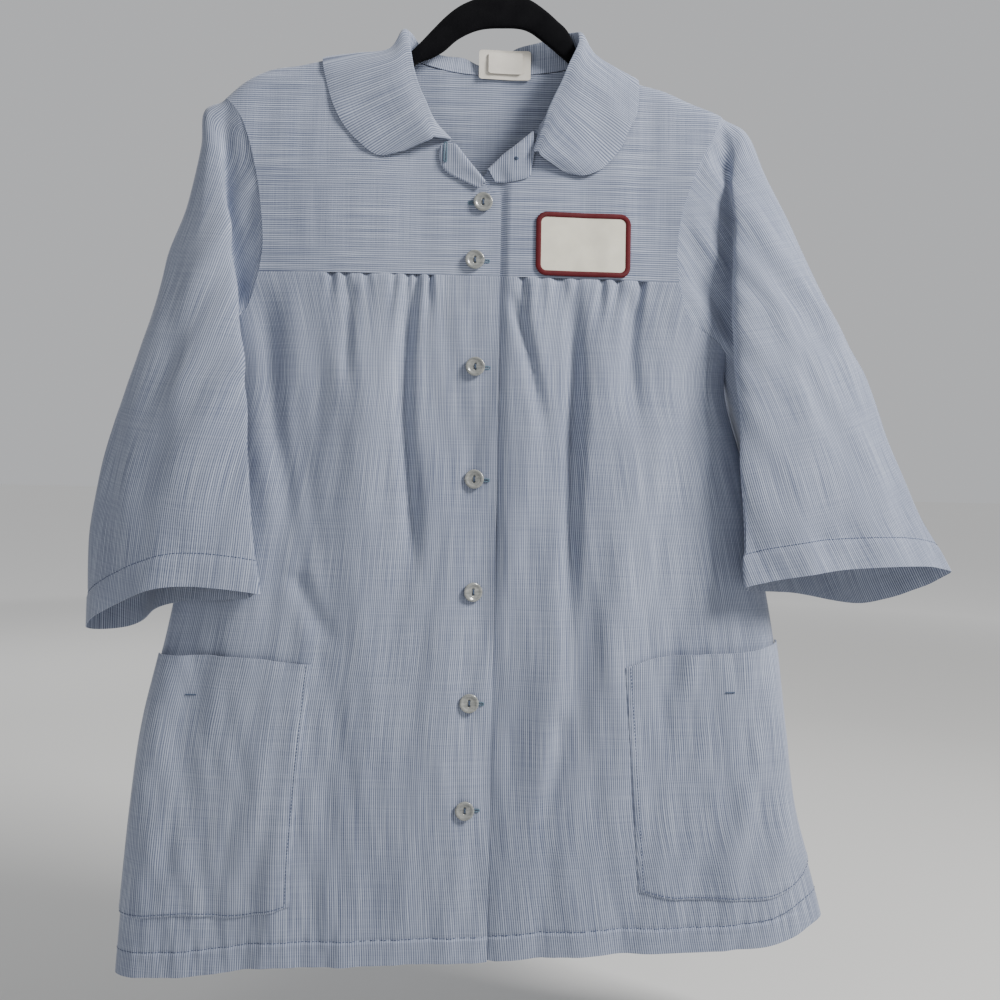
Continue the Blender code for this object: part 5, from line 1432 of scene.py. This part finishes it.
@dataclass(frozen=True)
class ChestPatch:
    """The sewn patch on the wearer's left yoke: a plain twill field and a merrowed border."""

    twill: Material
    thread: Material
    size: tuple[float, float] = (79.0, 53.0)
    centre: tuple[float, float] = (73.5, 270.7)
    corner: float = 9.0
    tight: float = 0.6  # the smallest corner inside it
    border: float = 4.4
    overlap: float = 0.8  # how far the field runs under the border
    layer: float = 0.45
    thick: float = 1.0
    border_thick: float = 1.75
    stitch: float = 1.05  # spacing of the border's overcast stitches
    stitch_steps: int = 7
    sides: int = 12  # points round the border
    field: int = 144  # points round the field
    upper: int = 22  # its loops on the upper face, and on the lower one
    lower: int = 6

    def outline(self, inset: float | Array, share: Array) -> Array:
        """A rounded rectangle's points across and down, at a distance inside its outline. The
        share runs once round it: straights and quarter circles one after another."""
        c = self.corner
        w, h = self.size[0] / 2 - c, self.size[1] / 2 - c
        straight = np.array([2 * h, math.pi / 2 * c, 2 * w, math.pi / 2 * c] * 2)
        marks = np.concatenate([[0], np.cumsum(straight)])
        s = share * marks[-1]
        piece = np.clip(np.searchsorted(marks, s, side="right") - 1, 0, 7)
        f = (s - marks[piece]) / straight[piece]
        corners = np.array([[w, h], [-w, h], [-w, -h], [w, -h]])
        which, bent = piece // 2, piece % 2 == 1
        turn = (np.where(bent, f, 0.0) + which) * math.pi / 2
        before, here = corners[which - 1], corners[which]
        centre = np.where(bent[..., None], here, before + (here - before) * f[..., None])
        reach = np.maximum(c - inset, self.tight) + np.minimum(c - self.tight - inset, 0.0)
        return centre + (reach * np.stack([np.cos(turn), np.sin(turn)])).T

    def on_yoke(self, flat: Array, lift: Array) -> Array:
        """Points of the yoke's face moved out, from places across and down the patch."""
        x, drop = self.centre[0] + flat[..., 0], self.centre[1] - flat[..., 1]
        points, n = TORSO.skin(TORSO.angle_at(x, drop, FRONT), drop, 0.0, 1.0)
        return points + n * lift[..., None]

    def build(self) -> None:
        """Make the field and the border."""
        self.make_field()
        self.make_border()

    def make_field(self) -> None:
        """The twill: loops that shrink to the middle, over its upper and its lower face."""
        edge = self.outline(self.border - self.overlap, np.arange(self.field) / self.field)
        scale = np.concatenate([np.linspace(0.02, 1.0, self.upper), [1.0],
                                np.linspace(1.0, 0.02, self.lower)])
        lift = self.layer + self.thick * np.repeat([1.0, 0.5, 0.0], [self.upper, 1, self.lower])
        flat = edge * scale[:, None, None]
        weave = np.vstack([flat.reshape(-1, 2), [[0, 0], [0, 0]]])
        MAKER.solid("twill_patch", [self.on_yoke(flat, lift[:, None] + 0 * flat[..., 0])],
                    self.twill, "patch_twill", ("patch",), weave=weave)

    def make_border(self) -> None:
        """The merrowed edge: a flat ring, rippled by its slanting stitches."""
        count = int(round(2 * sum(self.size) / self.stitch))
        share = np.arange(count * self.stitch_steps) / (count * self.stitch_steps)
        turn = circle(self.sides)
        phase = 2 * math.pi * (share[:, None] * count + 0.16 * np.sin(turn))
        ripple = 0.95 + 0.10 * np.abs(np.sin(phase / 2))
        half_w, half_h = self.border / 2, self.border_thick / 2
        inset = half_w - half_w * np.cos(turn) * ripple
        height = self.layer + half_h + half_h * signed_power(np.sin(turn), 0.8) * ripple
        flat = np.stack([self.outline(column, share) for column in inset.T], axis=1)
        around = np.stack(np.broadcast_arrays(share[:, None] * count, turn), axis=-1)
        MAKER.solid("patch_edge", [self.on_yoke(flat, height)], self.thread, "patch_thread",
                    ("patch_border",), closed=True, weave=around.reshape(-1, 2))


@dataclass(frozen=True)
class NeckLabel:
    """Two blank satin labels sewn into the back of the neck, the smaller one folded in front."""

    satin: Material
    stand_off: float = 2.2
    hang: float = 127.0  # where the back yoke is read
    corner: float = 2.2

    def tab(self, name: str, x: tuple[float, float], drop: tuple[float, float], off: float,
            lean: float, thick: float, nodes: tuple[str, ...]) -> None:
        """One label: a flat wall with round corners that leans back at the top and curls a little.

        Args:
            name: the piece's name.
            x: its two sides.
            drop: its top and bottom.
            off: distance in front of the back yoke.
            lean: how far its top leans back.
            thick: its thickness.
            nodes: the plain nodes it stands for.
        """
        s, t = np.meshgrid(np.linspace(-1, 1, 40), np.linspace(0, 1, 28))
        height = drop[1] - drop[0]
        trim = self.corner * (1 - quarter(np.minimum(t, 1 - t) * height / self.corner))
        place = (x[0] + x[1]) / 2 + s * ((x[1] - x[0]) / 2 - trim)
        level = drop[0] + height * t
        base = TORSO.shoulder(place, TORSO.over(place, self.hang, BACK.value))
        curl = 0.5 * np.sin(1.3 * math.pi * t + 0.6 * s) + 0.35 * s ** 2
        face = spots(place, base[..., 1] - CLOTH - off + lean * (1 - t) - curl, level)
        hidden, weave = face + np.array([0.0, thick, 0.0]), np.stack([place, level], axis=-1)
        MAKER.wall(name, face, hidden, weave, self.satin, "label_satin", nodes)

    def build(self) -> None:
        """Make both labels."""
        self.tab("label_back", (-15.0, 29.0), (102.0, 127.0), self.stand_off, 2.0, 0.5,
                 ("neck_label",))
        self.tab("label_front", (-7.0, 22.0), (104.5, 122.5), self.stand_off + 1.3, 1.6, 0.6, ())


@dataclass(frozen=True)
class Hanger:
    """The slim flocked hanger and its swivel hook."""

    flock: Material
    steel: Material
    half: float = 2.75
    steps: int = 420
    sides: int = 28
    squareness: float = 0.55
    end_round: float = 2.6
    fuzz: float = 0.04
    hook_radius: float = 21.0
    wire: float = 1.6
    hook_turn: tuple[float, float, int] = (200.0, -50.0, 90)  # degrees, and points
    blend: int = 12  # of those points, how many give way to the stem

    def arch(self) -> None:
        """The arch and the two arms: a squared oval carried along the hanger's two lines."""
        x = np.linspace(HANGER["x"][0], HANGER["x"][-1], self.steps)
        top, bottom = (curve(HANGER, name, x, by="x") for name in ("top", "bottom"))
        close = quarter(np.minimum(x - x[0], x[-1] - x) / self.end_round, 0.0025)
        turn = circle(self.sides)
        across, upright = (signed_power(f(turn), self.squareness) for f in (np.cos, np.sin))
        middle, high = (top + bottom) / 2, (bottom - top) / 2 * close
        x = x[:, None]
        fuzz = self.fuzz * np.sin(x * 3.1 + 5 * turn) * np.sin(x * 1.3 + 2 * turn)
        y = (self.half * close)[:, None] * across + fuzz * across
        MAKER.solid("flocked_hanger", [spots(x, y, middle[:, None] + high[:, None] * upright)],
                    self.flock, "flocking", ("hanger",))

    def hook(self) -> None:
        """The wire hook: most of a circle, then a smooth stem into the hanger's middle."""
        turn = np.radians(np.linspace(*self.hook_turn))
        r = self.hook_radius
        arc = spots(r * np.cos(turn), 0.0, r * (1 - np.sin(turn)) - self.wire)
        stem = spots(HOOK_STEM["x"], 0.0, HOOK_STEM["drop"])
        joint = np.vstack([arc[-self.blend::6], stem])
        line = np.vstack([arc[:-self.blend], denser(joint[None], 10, 1)[0]])
        tip = quarter(lengths(line, 0) / self.wire, 0.01)
        MAKER.solid("wire_hook", [tube(line, self.wire * tip, np.array([0.0, 1.0, 0.0]), 20)],
                    self.steel, "hook_wire", ("hook",))


@dataclass(frozen=True)
class Needlework:
    """Every visible line of stitching, and the bar tacks."""

    thread: Material
    dark: Material
    pocket_inset: float = 2.4
    hem_spans: tuple = ((-math.pi / 2, 0.02, 0.0), (-0.085, math.pi / 2, 1.0),
                        (math.pi / 2, 1.5 * math.pi, 0.0))  # first and last angle, and layer
    lap_angle: float = 0.03  # where the front beneath comes out from under the other
    tack_row: float = 0.13  # the pocket's share down where the cloth under a tack is read
    tack: float = 0.55  # the tack's radius
    coils: float = 3.2  # turns of the knot

    def hems(self) -> None:
        """The hem's stitches, on both fronts and the back."""
        seams = []
        for first, last, under in self.hem_spans:
            angle = np.linspace(first, last, 500)
            angle = angle[angle > self.lap_angle] if under else angle
            x = TORSO.at(angle, np.full_like(angle, TORSO.hem_drop), 0.0)[..., 0]
            drop = curve(HEM, "drop", x, by="x") - TORSO.hem_depth
            seams.append(TORSO.skin(angle, drop, 1.0, under))
        Stitches(self.thread).sew("stitches_hem", seams)

    def pockets(self, pockets: list[Pocket]) -> None:
        """Down the inner edge and along the bottom of each pocket."""
        for pocket in pockets:
            first, last = self.pocket_inset / pocket.width, 1 - self.pocket_inset / pocket.height
            down = np.linspace(0.004, last, 240)
            along = np.linspace(first, 0.995, 240)
            seams = [pocket.skin(np.full_like(down, first), down),
                     pocket.skin(along, np.full_like(along, last))]
            name = f"stitches_pocket_{pocket.side.word}"
            Stitches(self.thread, radius=0.3).sew(name, seams)

    def sleeves(self, sleeves: list[Sleeve]) -> None:
        """Round each sleeve above its hem."""
        for sleeve in sleeves:
            points, n, _ = sleeve.wrinkled()
            down = lengths(points, 0)
            target = down[-1] - sleeve.hem_depth
            seam = tuple(np.array([resample(at, run, column) for at, run, column
                                   in zip(target, down.T, np.swapaxes(grid, 0, 1))])
                         for grid in (points, n))
            Stitches(self.thread).sew(f"stitches_sleeve_{sleeve.side.word}", [seam])

    def bar_tacks(self, pockets: list[Pocket]) -> None:
        """A short dark bar near the outer corner of each pocket's mouth, wrapped with thread."""
        places = {RIGHT: (-246.0, -237.0, 647.0), LEFT: (199.0, 207.0, 639.0)}
        for pocket in pockets:
            low, high, drop = places[pocket.side]
            share = np.linspace(0, 1, 400)
            points, n = pocket.skin(share, np.full_like(share, self.tack_row))
            order = np.argsort(points[:, 0])
            points, n = points[order], n[order]
            x = np.linspace(low, high, 60)
            out = resample(x, points[:, 0], n)
            line = spots(x, np.interp(x, points[:, 0], points[:, 1]), drop) + out * 0.25
            ripple = self.tack * (1 + 0.18 * np.sin(np.arange(60) * 1.9))
            MAKER.solid(f"bar_tack_{pocket.side.word}", [tube(line, ripple, out, 8, 0.7)],
                        self.dark)

    def knot(self) -> None:
        """The end of the thread where the neck button was sewn, a small coil on the left corner."""
        spot = on_front(16.5, 201.0, 1.0, lift=3.2)
        s = np.linspace(0, 1, 70)
        turn = 2 * math.pi * self.coils * s
        radius = 1.5 - 0.9 * s
        line = spot.to(radius * np.cos(turn), radius * np.sin(turn), 0.5 * s)
        MAKER.solid("thread_knot", [tube(line, 0.24, spot.out, 7)], self.dark)


def operator(operation: str, turned: bool = False) -> Callable[..., "Signal"]:
    """A method that adds a Math node on two values, the other one first where it is turned."""
    def method(this: "Signal", other: "Signal | float") -> "Signal":
        """The node's result."""
        return this.math(operation, *((other, this) if turned else (this, other)))
    return method


class Signal:
    """One shader socket that can stand in arithmetic."""

    def __init__(self, graph: "Graph", socket: bpy.types.NodeSocket) -> None:
        """Keep the socket and the graph it is in."""
        self.graph = graph
        self.socket = socket

    def math(self, operation: str, *values: "Signal | float") -> "Signal":
        """A Math node of this kind on these values."""
        inputs = dict(enumerate(values))
        return self.graph.node("ShaderNodeMath", {"operation": operation}, inputs)

    __add__ = __radd__ = operator("ADD")
    __sub__, __rsub__ = operator("SUBTRACT"), operator("SUBTRACT", turned=True)
    __mul__ = __rmul__ = operator("MULTIPLY")

    def clamped(self) -> "Signal":
        """The value kept between 0 and 1."""
        return self.math("MINIMUM", self.math("MAXIMUM", self, 0.0), 1.0)

    def wave(self, pitch: float) -> "Signal":
        """A sine of this pitch that runs from 0 to 1."""
        return self.math("SINE", self * (2 * math.pi / pitch)) * 0.5 + 0.5


class Graph:
    """The node tree of a material or a world, built from expressions."""

    def __init__(self, owner: bpy.types.ID, shader: str = "Principled BSDF") -> None:
        """Start from the owner's one shader."""
        owner.use_nodes = True
        self.owner = owner
        self.tree = owner.node_tree
        self.shader = self.tree.nodes[shader]

    def node(self, kind: str, settings: dict, inputs: dict, output: int | str = 0) -> Signal:
        """Any node.

        Args:
            kind: the node's type.
            settings: its own settings, which are set first.
            inputs: a value or a signal for each socket, by name or number.
            output: the socket that is handed back.

        Returns:
            That socket's signal.
        """
        made = self.tree.nodes.new(kind)
        for key, value in settings.items():
            setattr(made, key, value)
        for key, value in inputs.items():
            self.feed(made.inputs[key], value)
        return Signal(self, made.outputs[output])

    def feed(self, socket: bpy.types.NodeSocket, value: object) -> None:
        """Link a signal to a socket, or set the socket's own value."""
        if isinstance(value, Signal):
            self.tree.links.new(value.socket, socket)
        else:
            socket.default_value = value

    def weave(self) -> Signal:
        """Places in the cloth, in metres."""
        return self.node("ShaderNodeUVMap", {"uv_map": "weave"}, {})

    def place(self) -> Signal:
        """Object coordinates."""
        return self.node("ShaderNodeTexCoord", {}, {}, "Object")

    def parts(self, vector: Signal) -> list[Signal]:
        """The three parts of a vector."""
        first = self.node("ShaderNodeSeparateXYZ", {}, {0: vector})
        return [Signal(self, socket) for socket in first.socket.node.outputs]

    def noise(self, vector: Signal, scale: tuple | float, detail: float = 2.0) -> Signal:
        """Soft noise on a vector, with one scale or one for each part."""
        scale = scale if isinstance(scale, tuple) else (scale,) * 3
        stretched = self.node("ShaderNodeVectorMath", {"operation": "MULTIPLY"},
                              {0: vector, 1: scale})
        return self.node("ShaderNodeTexNoise", {}, {"Vector": stretched, "Scale": 1.0,
                                                    "Detail": detail})

    def mix(self, factor: Signal, a: Colour, b: Colour) -> Signal:
        """A blend of two colours."""
        return self.node("ShaderNodeMix", {"data_type": "RGBA"},
                         {0: factor, 6: (*a, 1.0), 7: (*b, 1.0)}, 2)

    def bump(self, height: Signal, distance: float, strength: float) -> Signal:
        """A normal from a height between 0 and 1."""
        return self.node("ShaderNodeBump", {}, {"Height": height, "Distance": distance,
                                                "Strength": strength})

    def finish(self, **sockets: object) -> bpy.types.ID:
        """Set the shader's sockets, named with _ for a space, and hand back the owner."""
        for name, value in sockets.items():
            value = (*value, 1.0) if isinstance(value, tuple) else value
            self.feed(self.shader.inputs[name.replace("_", " ")], value)
        return self.owner


def new_graph(name: str) -> Graph:
    """The graph of a new material."""
    return Graph(bpy.data.materials.new(name))


@dataclass(frozen=True)
class Chambray:
    """Fine blue and white pin-striped cloth: pale and blue threads by turns across the grain, with
    uneven threads both ways, a worn cast over large areas and a thread-deep relief."""

    pale: Colour = (0.555, 0.61, 0.745)
    blue: Colour = (0.06, 0.08, 0.155)
    pitch: float = 0.0018  # of the stripes
    weft_pitch: float = 0.0011

    def material(self) -> Material:
        """The finish."""
        g = new_graph("chambray")
        weave = g.weave()
        across, along, _ = g.parts(weave)
        slub = g.noise(weave, (1250.0, 14.0, 1.0))
        weft = g.noise(weave, (14.0, 1200.0, 1.0))
        wobble = g.noise(weave, (30.0, 30.0, 1.0), 1.0)
        stripe = (across + wobble * 0.0012).wave(self.pitch)
        worn = g.noise(g.place(), (7.0, 7.0, 5.0), 3.0)
        mask = stripe * (slub * 0.95 + 0.08) + slub * 0.44 + weft * 0.28 + worn * 0.24 - 0.34
        threads = stripe * 0.4 + slub * 0.4 + along.wave(self.weft_pitch) * 0.2 + weft * 0.5
        return g.finish(Base_Color=g.mix(mask.clamped(), self.blue, self.pale),
                        Roughness=0.86 + worn * 0.08, Specular_IOR_Level=0.22, Sheen_Weight=0.25,
                        Sheen_Roughness=0.5, Normal=g.bump(threads, 0.00016, 0.6))


@dataclass(frozen=True)
class Thread:
    """Twisted sewing thread: fine slanting bands, lighter where they are worn."""

    name: str
    colour: Colour
    worn: Colour
    by_weave: bool = False  # whether the bands follow the stitches round a border
    band: float = 0.00157143  # their spacing
    turn: float = 0.001  # one stitch of the border

    def material(self) -> Material:
        """The finish."""
        g = new_graph(self.name)
        place = g.place()
        x, y, z = g.parts(place)
        band = (x * 0.7 + z * 0.7 + y * 0.4).wave(self.band)
        if self.by_weave:
            around, _, _ = g.parts(g.weave())
            band = around.wave(self.turn) * 0.7 + 0.3 * band
        mask = band * 0.45 + g.noise(place, 180.0, 3.0) * 0.5
        return g.finish(Base_Color=g.mix(mask, self.colour, self.worn), Roughness=0.62,
                        Specular_IOR_Level=0.25, Sheen_Weight=0.05,
                        Normal=g.bump(band, 0.00012, 0.7))


@dataclass(frozen=True)
class Pearl:
    """Pearly moulded buttons: milky clouds in bands, under a clear hard surface."""

    milk: Colour = (0.42, 0.425, 0.40)
    smoke: Colour = (0.12, 0.13, 0.135)

    def material(self) -> Material:
        """The finish."""
        g = new_graph("button_plastic")
        place = g.place()
        cloud = g.noise(place, (190.0, 190.0, 420.0), 3.0)
        band = g.noise(place, (90.0, 60.0, 900.0), 1.0)
        mask = (cloud * 0.9 + band * 0.5 - 0.25).clamped()
        return g.finish(Base_Color=g.mix(mask, self.smoke, self.milk), Roughness=0.2 + cloud * 0.12,
                        Coat_Weight=0.6, Coat_Roughness=0.08, Specular_IOR_Level=0.6,
                        Normal=g.bump(cloud, 0.00005, 0.4))


@dataclass(frozen=True)
class Twill:
    """Cream patch twill: steep slanting ribs across its weave, a little soiled."""

    cream: Colour = (0.90, 0.87, 0.75)
    shade: Colour = (0.55, 0.52, 0.43)
    rib: float = 0.0009
    cross: float = 0.0007

    def material(self) -> Material:
        """The finish."""
        g = new_graph("patch_twill")
        weave = g.weave()
        x, y, _ = g.parts(weave)
        rib = (x * 0.85 + y * 0.55).wave(self.rib)
        cross = (x * 0.4 - y * 0.9).wave(self.cross)
        soil = g.noise(weave, (60.0, 60.0, 1.0), 3.0)
        mask = (rib * 0.32 + cross * 0.14 + soil * 0.75).clamped()
        return g.finish(Base_Color=g.mix(mask, self.shade, self.cream), Roughness=0.8,
                        Specular_IOR_Level=0.25, Sheen_Weight=0.2,
                        Normal=g.bump(rib * 0.7 + cross * 0.3, 0.00018, 0.8))


@dataclass(frozen=True)
class Satin:
    """White label satin: long floats across it, and soft lighter and darker patches at random."""

    white: Colour = (0.80, 0.77, 0.70)
    shade: Colour = (0.54, 0.50, 0.44)
    pitch: float = 0.00055

    def material(self) -> Material:
        """The finish."""
        g = new_graph("label_satin")
        weave = g.weave()
        floats = g.parts(weave)[1].wave(self.pitch)
        mask = floats * 0.3 + g.noise(weave, (90.0, 90.0, 1.0)) * 0.5 + 0.25
        return g.finish(Base_Color=g.mix(mask, self.shade, self.white), Roughness=0.38,
                        Specular_IOR_Level=0.5, Sheen_Weight=0.3,
                        Normal=g.bump(floats, 0.00008, 0.6))


@dataclass(frozen=True)
class Flock:
    """Black flocking: short fibres with specks of lint, and a soft velvet edge."""

    black: Colour = (0.002, 0.002, 0.003)
    lint: Colour = (0.014, 0.014, 0.016)

    def material(self) -> Material:
        """The finish."""
        g = new_graph("flocking")
        place = g.place()
        fibre = g.noise(place, 2600.0)
        mask = (fibre * 0.6 + g.noise(place, 70.0, 3.0) * 0.5 - 0.3).clamped()
        return g.finish(Base_Color=g.mix(mask, self.black, self.lint), Roughness=0.95,
                        Specular_IOR_Level=0.03, Sheen_Weight=0.05, Sheen_Roughness=0.5,
                        Normal=g.bump(fibre, 0.0003, 0.8))


@dataclass(frozen=True)
class Steel:
    """Bright wire: a plated surface with fine drawing marks and a few dull places."""

    bright: Colour = (0.72, 0.72, 0.73)
    dull: Colour = (0.48, 0.48, 0.49)

    def material(self) -> Material:
        """The finish."""
        g = new_graph("hook_wire")
        place = g.place()
        marks = g.noise(place, (300.0, 2200.0, 300.0))
        wear = g.noise(place, 120.0, 3.0)
        return g.finish(Base_Color=g.mix(wear, self.bright, self.dull), Metallic=1.0,
                        Roughness=0.16 + wear * 0.2, Normal=g.bump(marks, 0.00004, 0.4))


@dataclass(frozen=True)
class Lamp:
    """A soft square light aimed at the middle of the smock."""

    name: str
    place: tuple[float, float, float]
    size: float
    power: float
    colour: Colour
    aim: tuple[float, float, float] = (0.0, 0.0, -0.45)

    def build(self) -> None:
        """Make the light."""
        lamp = bpy.data.lights.new(self.name, "AREA")
        lamp.size = self.size
        lamp.energy = self.power
        lamp.color = self.colour
        way = Vector(self.aim) - Vector(self.place)
        turn = way.to_track_quat("-Z", "Y").to_matrix().to_4x4()
        thing = new_object(self.name, lamp)
        thing.matrix_world = Matrix.Translation(Vector(self.place)) @ turn


@dataclass(frozen=True)
class Studio:
    """A pale floor that glows a little far off, plain soft light and the camera."""

    eye: tuple[float, float, float] = (-0.03239, -0.902, -0.44777)
    pan: float = -2.7
    tilt: float = -2.3
    roll: float = 1.2
    lens: float = 37.98
    floor: float = -0.96
    reach: float = 14.0  # half the floor's width
    floor_pale: Colour = (0.66, 0.66, 0.65)
    floor_dark: Colour = (0.60, 0.60, 0.59)
    glow: float = 0.36  # the floor's own light far off
    near: float = 2.0  # squared distance where it starts
    growth: float = 0.125  # its growth with squared distance
    sky: Colour = (0.80, 0.81, 0.83)
    sky_light: float = 0.27  # the sky's strength as a light,
    sky_seen: float = 0.38  # and how much more of it the camera sees
    lamps: tuple[Lamp, ...] = (Lamp("key", (1.55, -0.85, 0.95), 0.6, 82.0, (1.0, 0.985, 0.96)),
                               Lamp("fill", (-1.6, -1.7, 0.5), 1.2, 9.0, (1.0, 0.99, 0.97)),
                               Lamp("rear", (-0.9, 1.8, 0.7), 1.4, 26.0, (1.0, 1.0, 1.0)))

    def build(self) -> None:
        """Make all of it."""
        self.make_floor()
        for lamp in self.lamps:
            lamp.build()
        g = Graph(bpy.data.worlds.new("studio"), "Background")
        seen = g.node("ShaderNodeLightPath", {}, {}, "Is Camera Ray")
        bpy.context.scene.world = g.finish(Color=self.sky,
                                           Strength=seen * self.sky_seen + self.sky_light)
        self.make_camera()

    def make_floor(self) -> None:
        """The floor, which has no wall behind it."""
        corners = [(x * self.reach, y * self.reach, self.floor)
                   for x, y in ((-1, -1), (1, -1), (1, 1), (-1, 1))]
        mesh = bpy.data.meshes.new("studio_floor")
        mesh.from_pydata(corners, [], [(0, 1, 2, 3)])
        g = new_graph("pale_floor")
        place = g.place()
        east, north, _ = g.parts(place)
        away = (east * east + north * north - self.near) * self.growth
        cast = g.noise(place, 0.7)
        mesh.materials.append(g.finish(
            Base_Color=g.mix(cast, self.floor_dark, self.floor_pale), Roughness=0.8,
            Emission_Color=g.mix(away, (0.0, 0.0, 0.0), (1.0, 1.0, 1.0)),
            Emission_Strength=self.glow))
        floor = new_object("studio_floor", mesh)

    def make_camera(self) -> None:
        """The camera, level but for its small pan, tilt and roll."""
        camera = bpy.data.cameras.new("camera")
        camera.lens = self.lens
        camera.sensor_width = 36.0
        turn = (Matrix.Rotation(math.radians(self.pan), 4, "Z")
                @ Matrix.Rotation(math.radians(90.0 + self.tilt), 4, "X")
                @ Matrix.Rotation(math.radians(self.roll), 4, "Z"))
        eye = new_object("camera", camera)
        eye.matrix_world = Matrix.Translation(Vector(self.eye)) @ turn
        bpy.context.scene.camera = eye


def main() -> None:
    """Build every part of the smock in turn."""
    logging.basicConfig(level=logging.INFO)
    cloth = Chambray().material()
    blue = Thread("blue_thread", (0.03, 0.045, 0.10), (0.09, 0.12, 0.21)).material()
    dark = Thread("dark_thread", (0.035, 0.05, 0.09), (0.10, 0.14, 0.22)).material()
    teal = Thread("buttonhole_thread", (0.07, 0.12, 0.17), (0.17, 0.25, 0.32)).material()
    red = Thread("patch_thread", (0.05, 0.001, 0.004), (0.14, 0.003, 0.009),
                 by_weave=True).material()
    yokes = Yokes(cloth)
    panels = Panels(cloth)
    neck = NeckFinish(cloth)
    sleeves = [Sleeve(side, cloth) for side in Side]
    pockets = [Pocket(side, cloth) for side in Side]
    yokes.back()
    panels.back()
    for side in Side:
        yokes.front(side)
        panels.front(side)
    for sleeve in sleeves:
        sleeve.build()
    neck.collar()
    for side in Side:
        neck.lapel(side)
    for pocket in pockets:
        pocket.build()
    Buttons(Pearl().material(), teal, dark).build()
    needle = Needlework(blue, dark)
    needle.hems()
    needle.pockets(pockets)
    needle.sleeves(sleeves)
    needle.bar_tacks(pockets)
    needle.knot()
    ChestPatch(Twill().material(), red).build()
    NeckLabel(Satin().material()).build()
    hanger = Hanger(Flock().material(), Steel().material())
    hanger.arch()
    hanger.hook()
    Studio().build()


if __name__ == "__main__":
    main()
    bpy.context.view_layer.update()
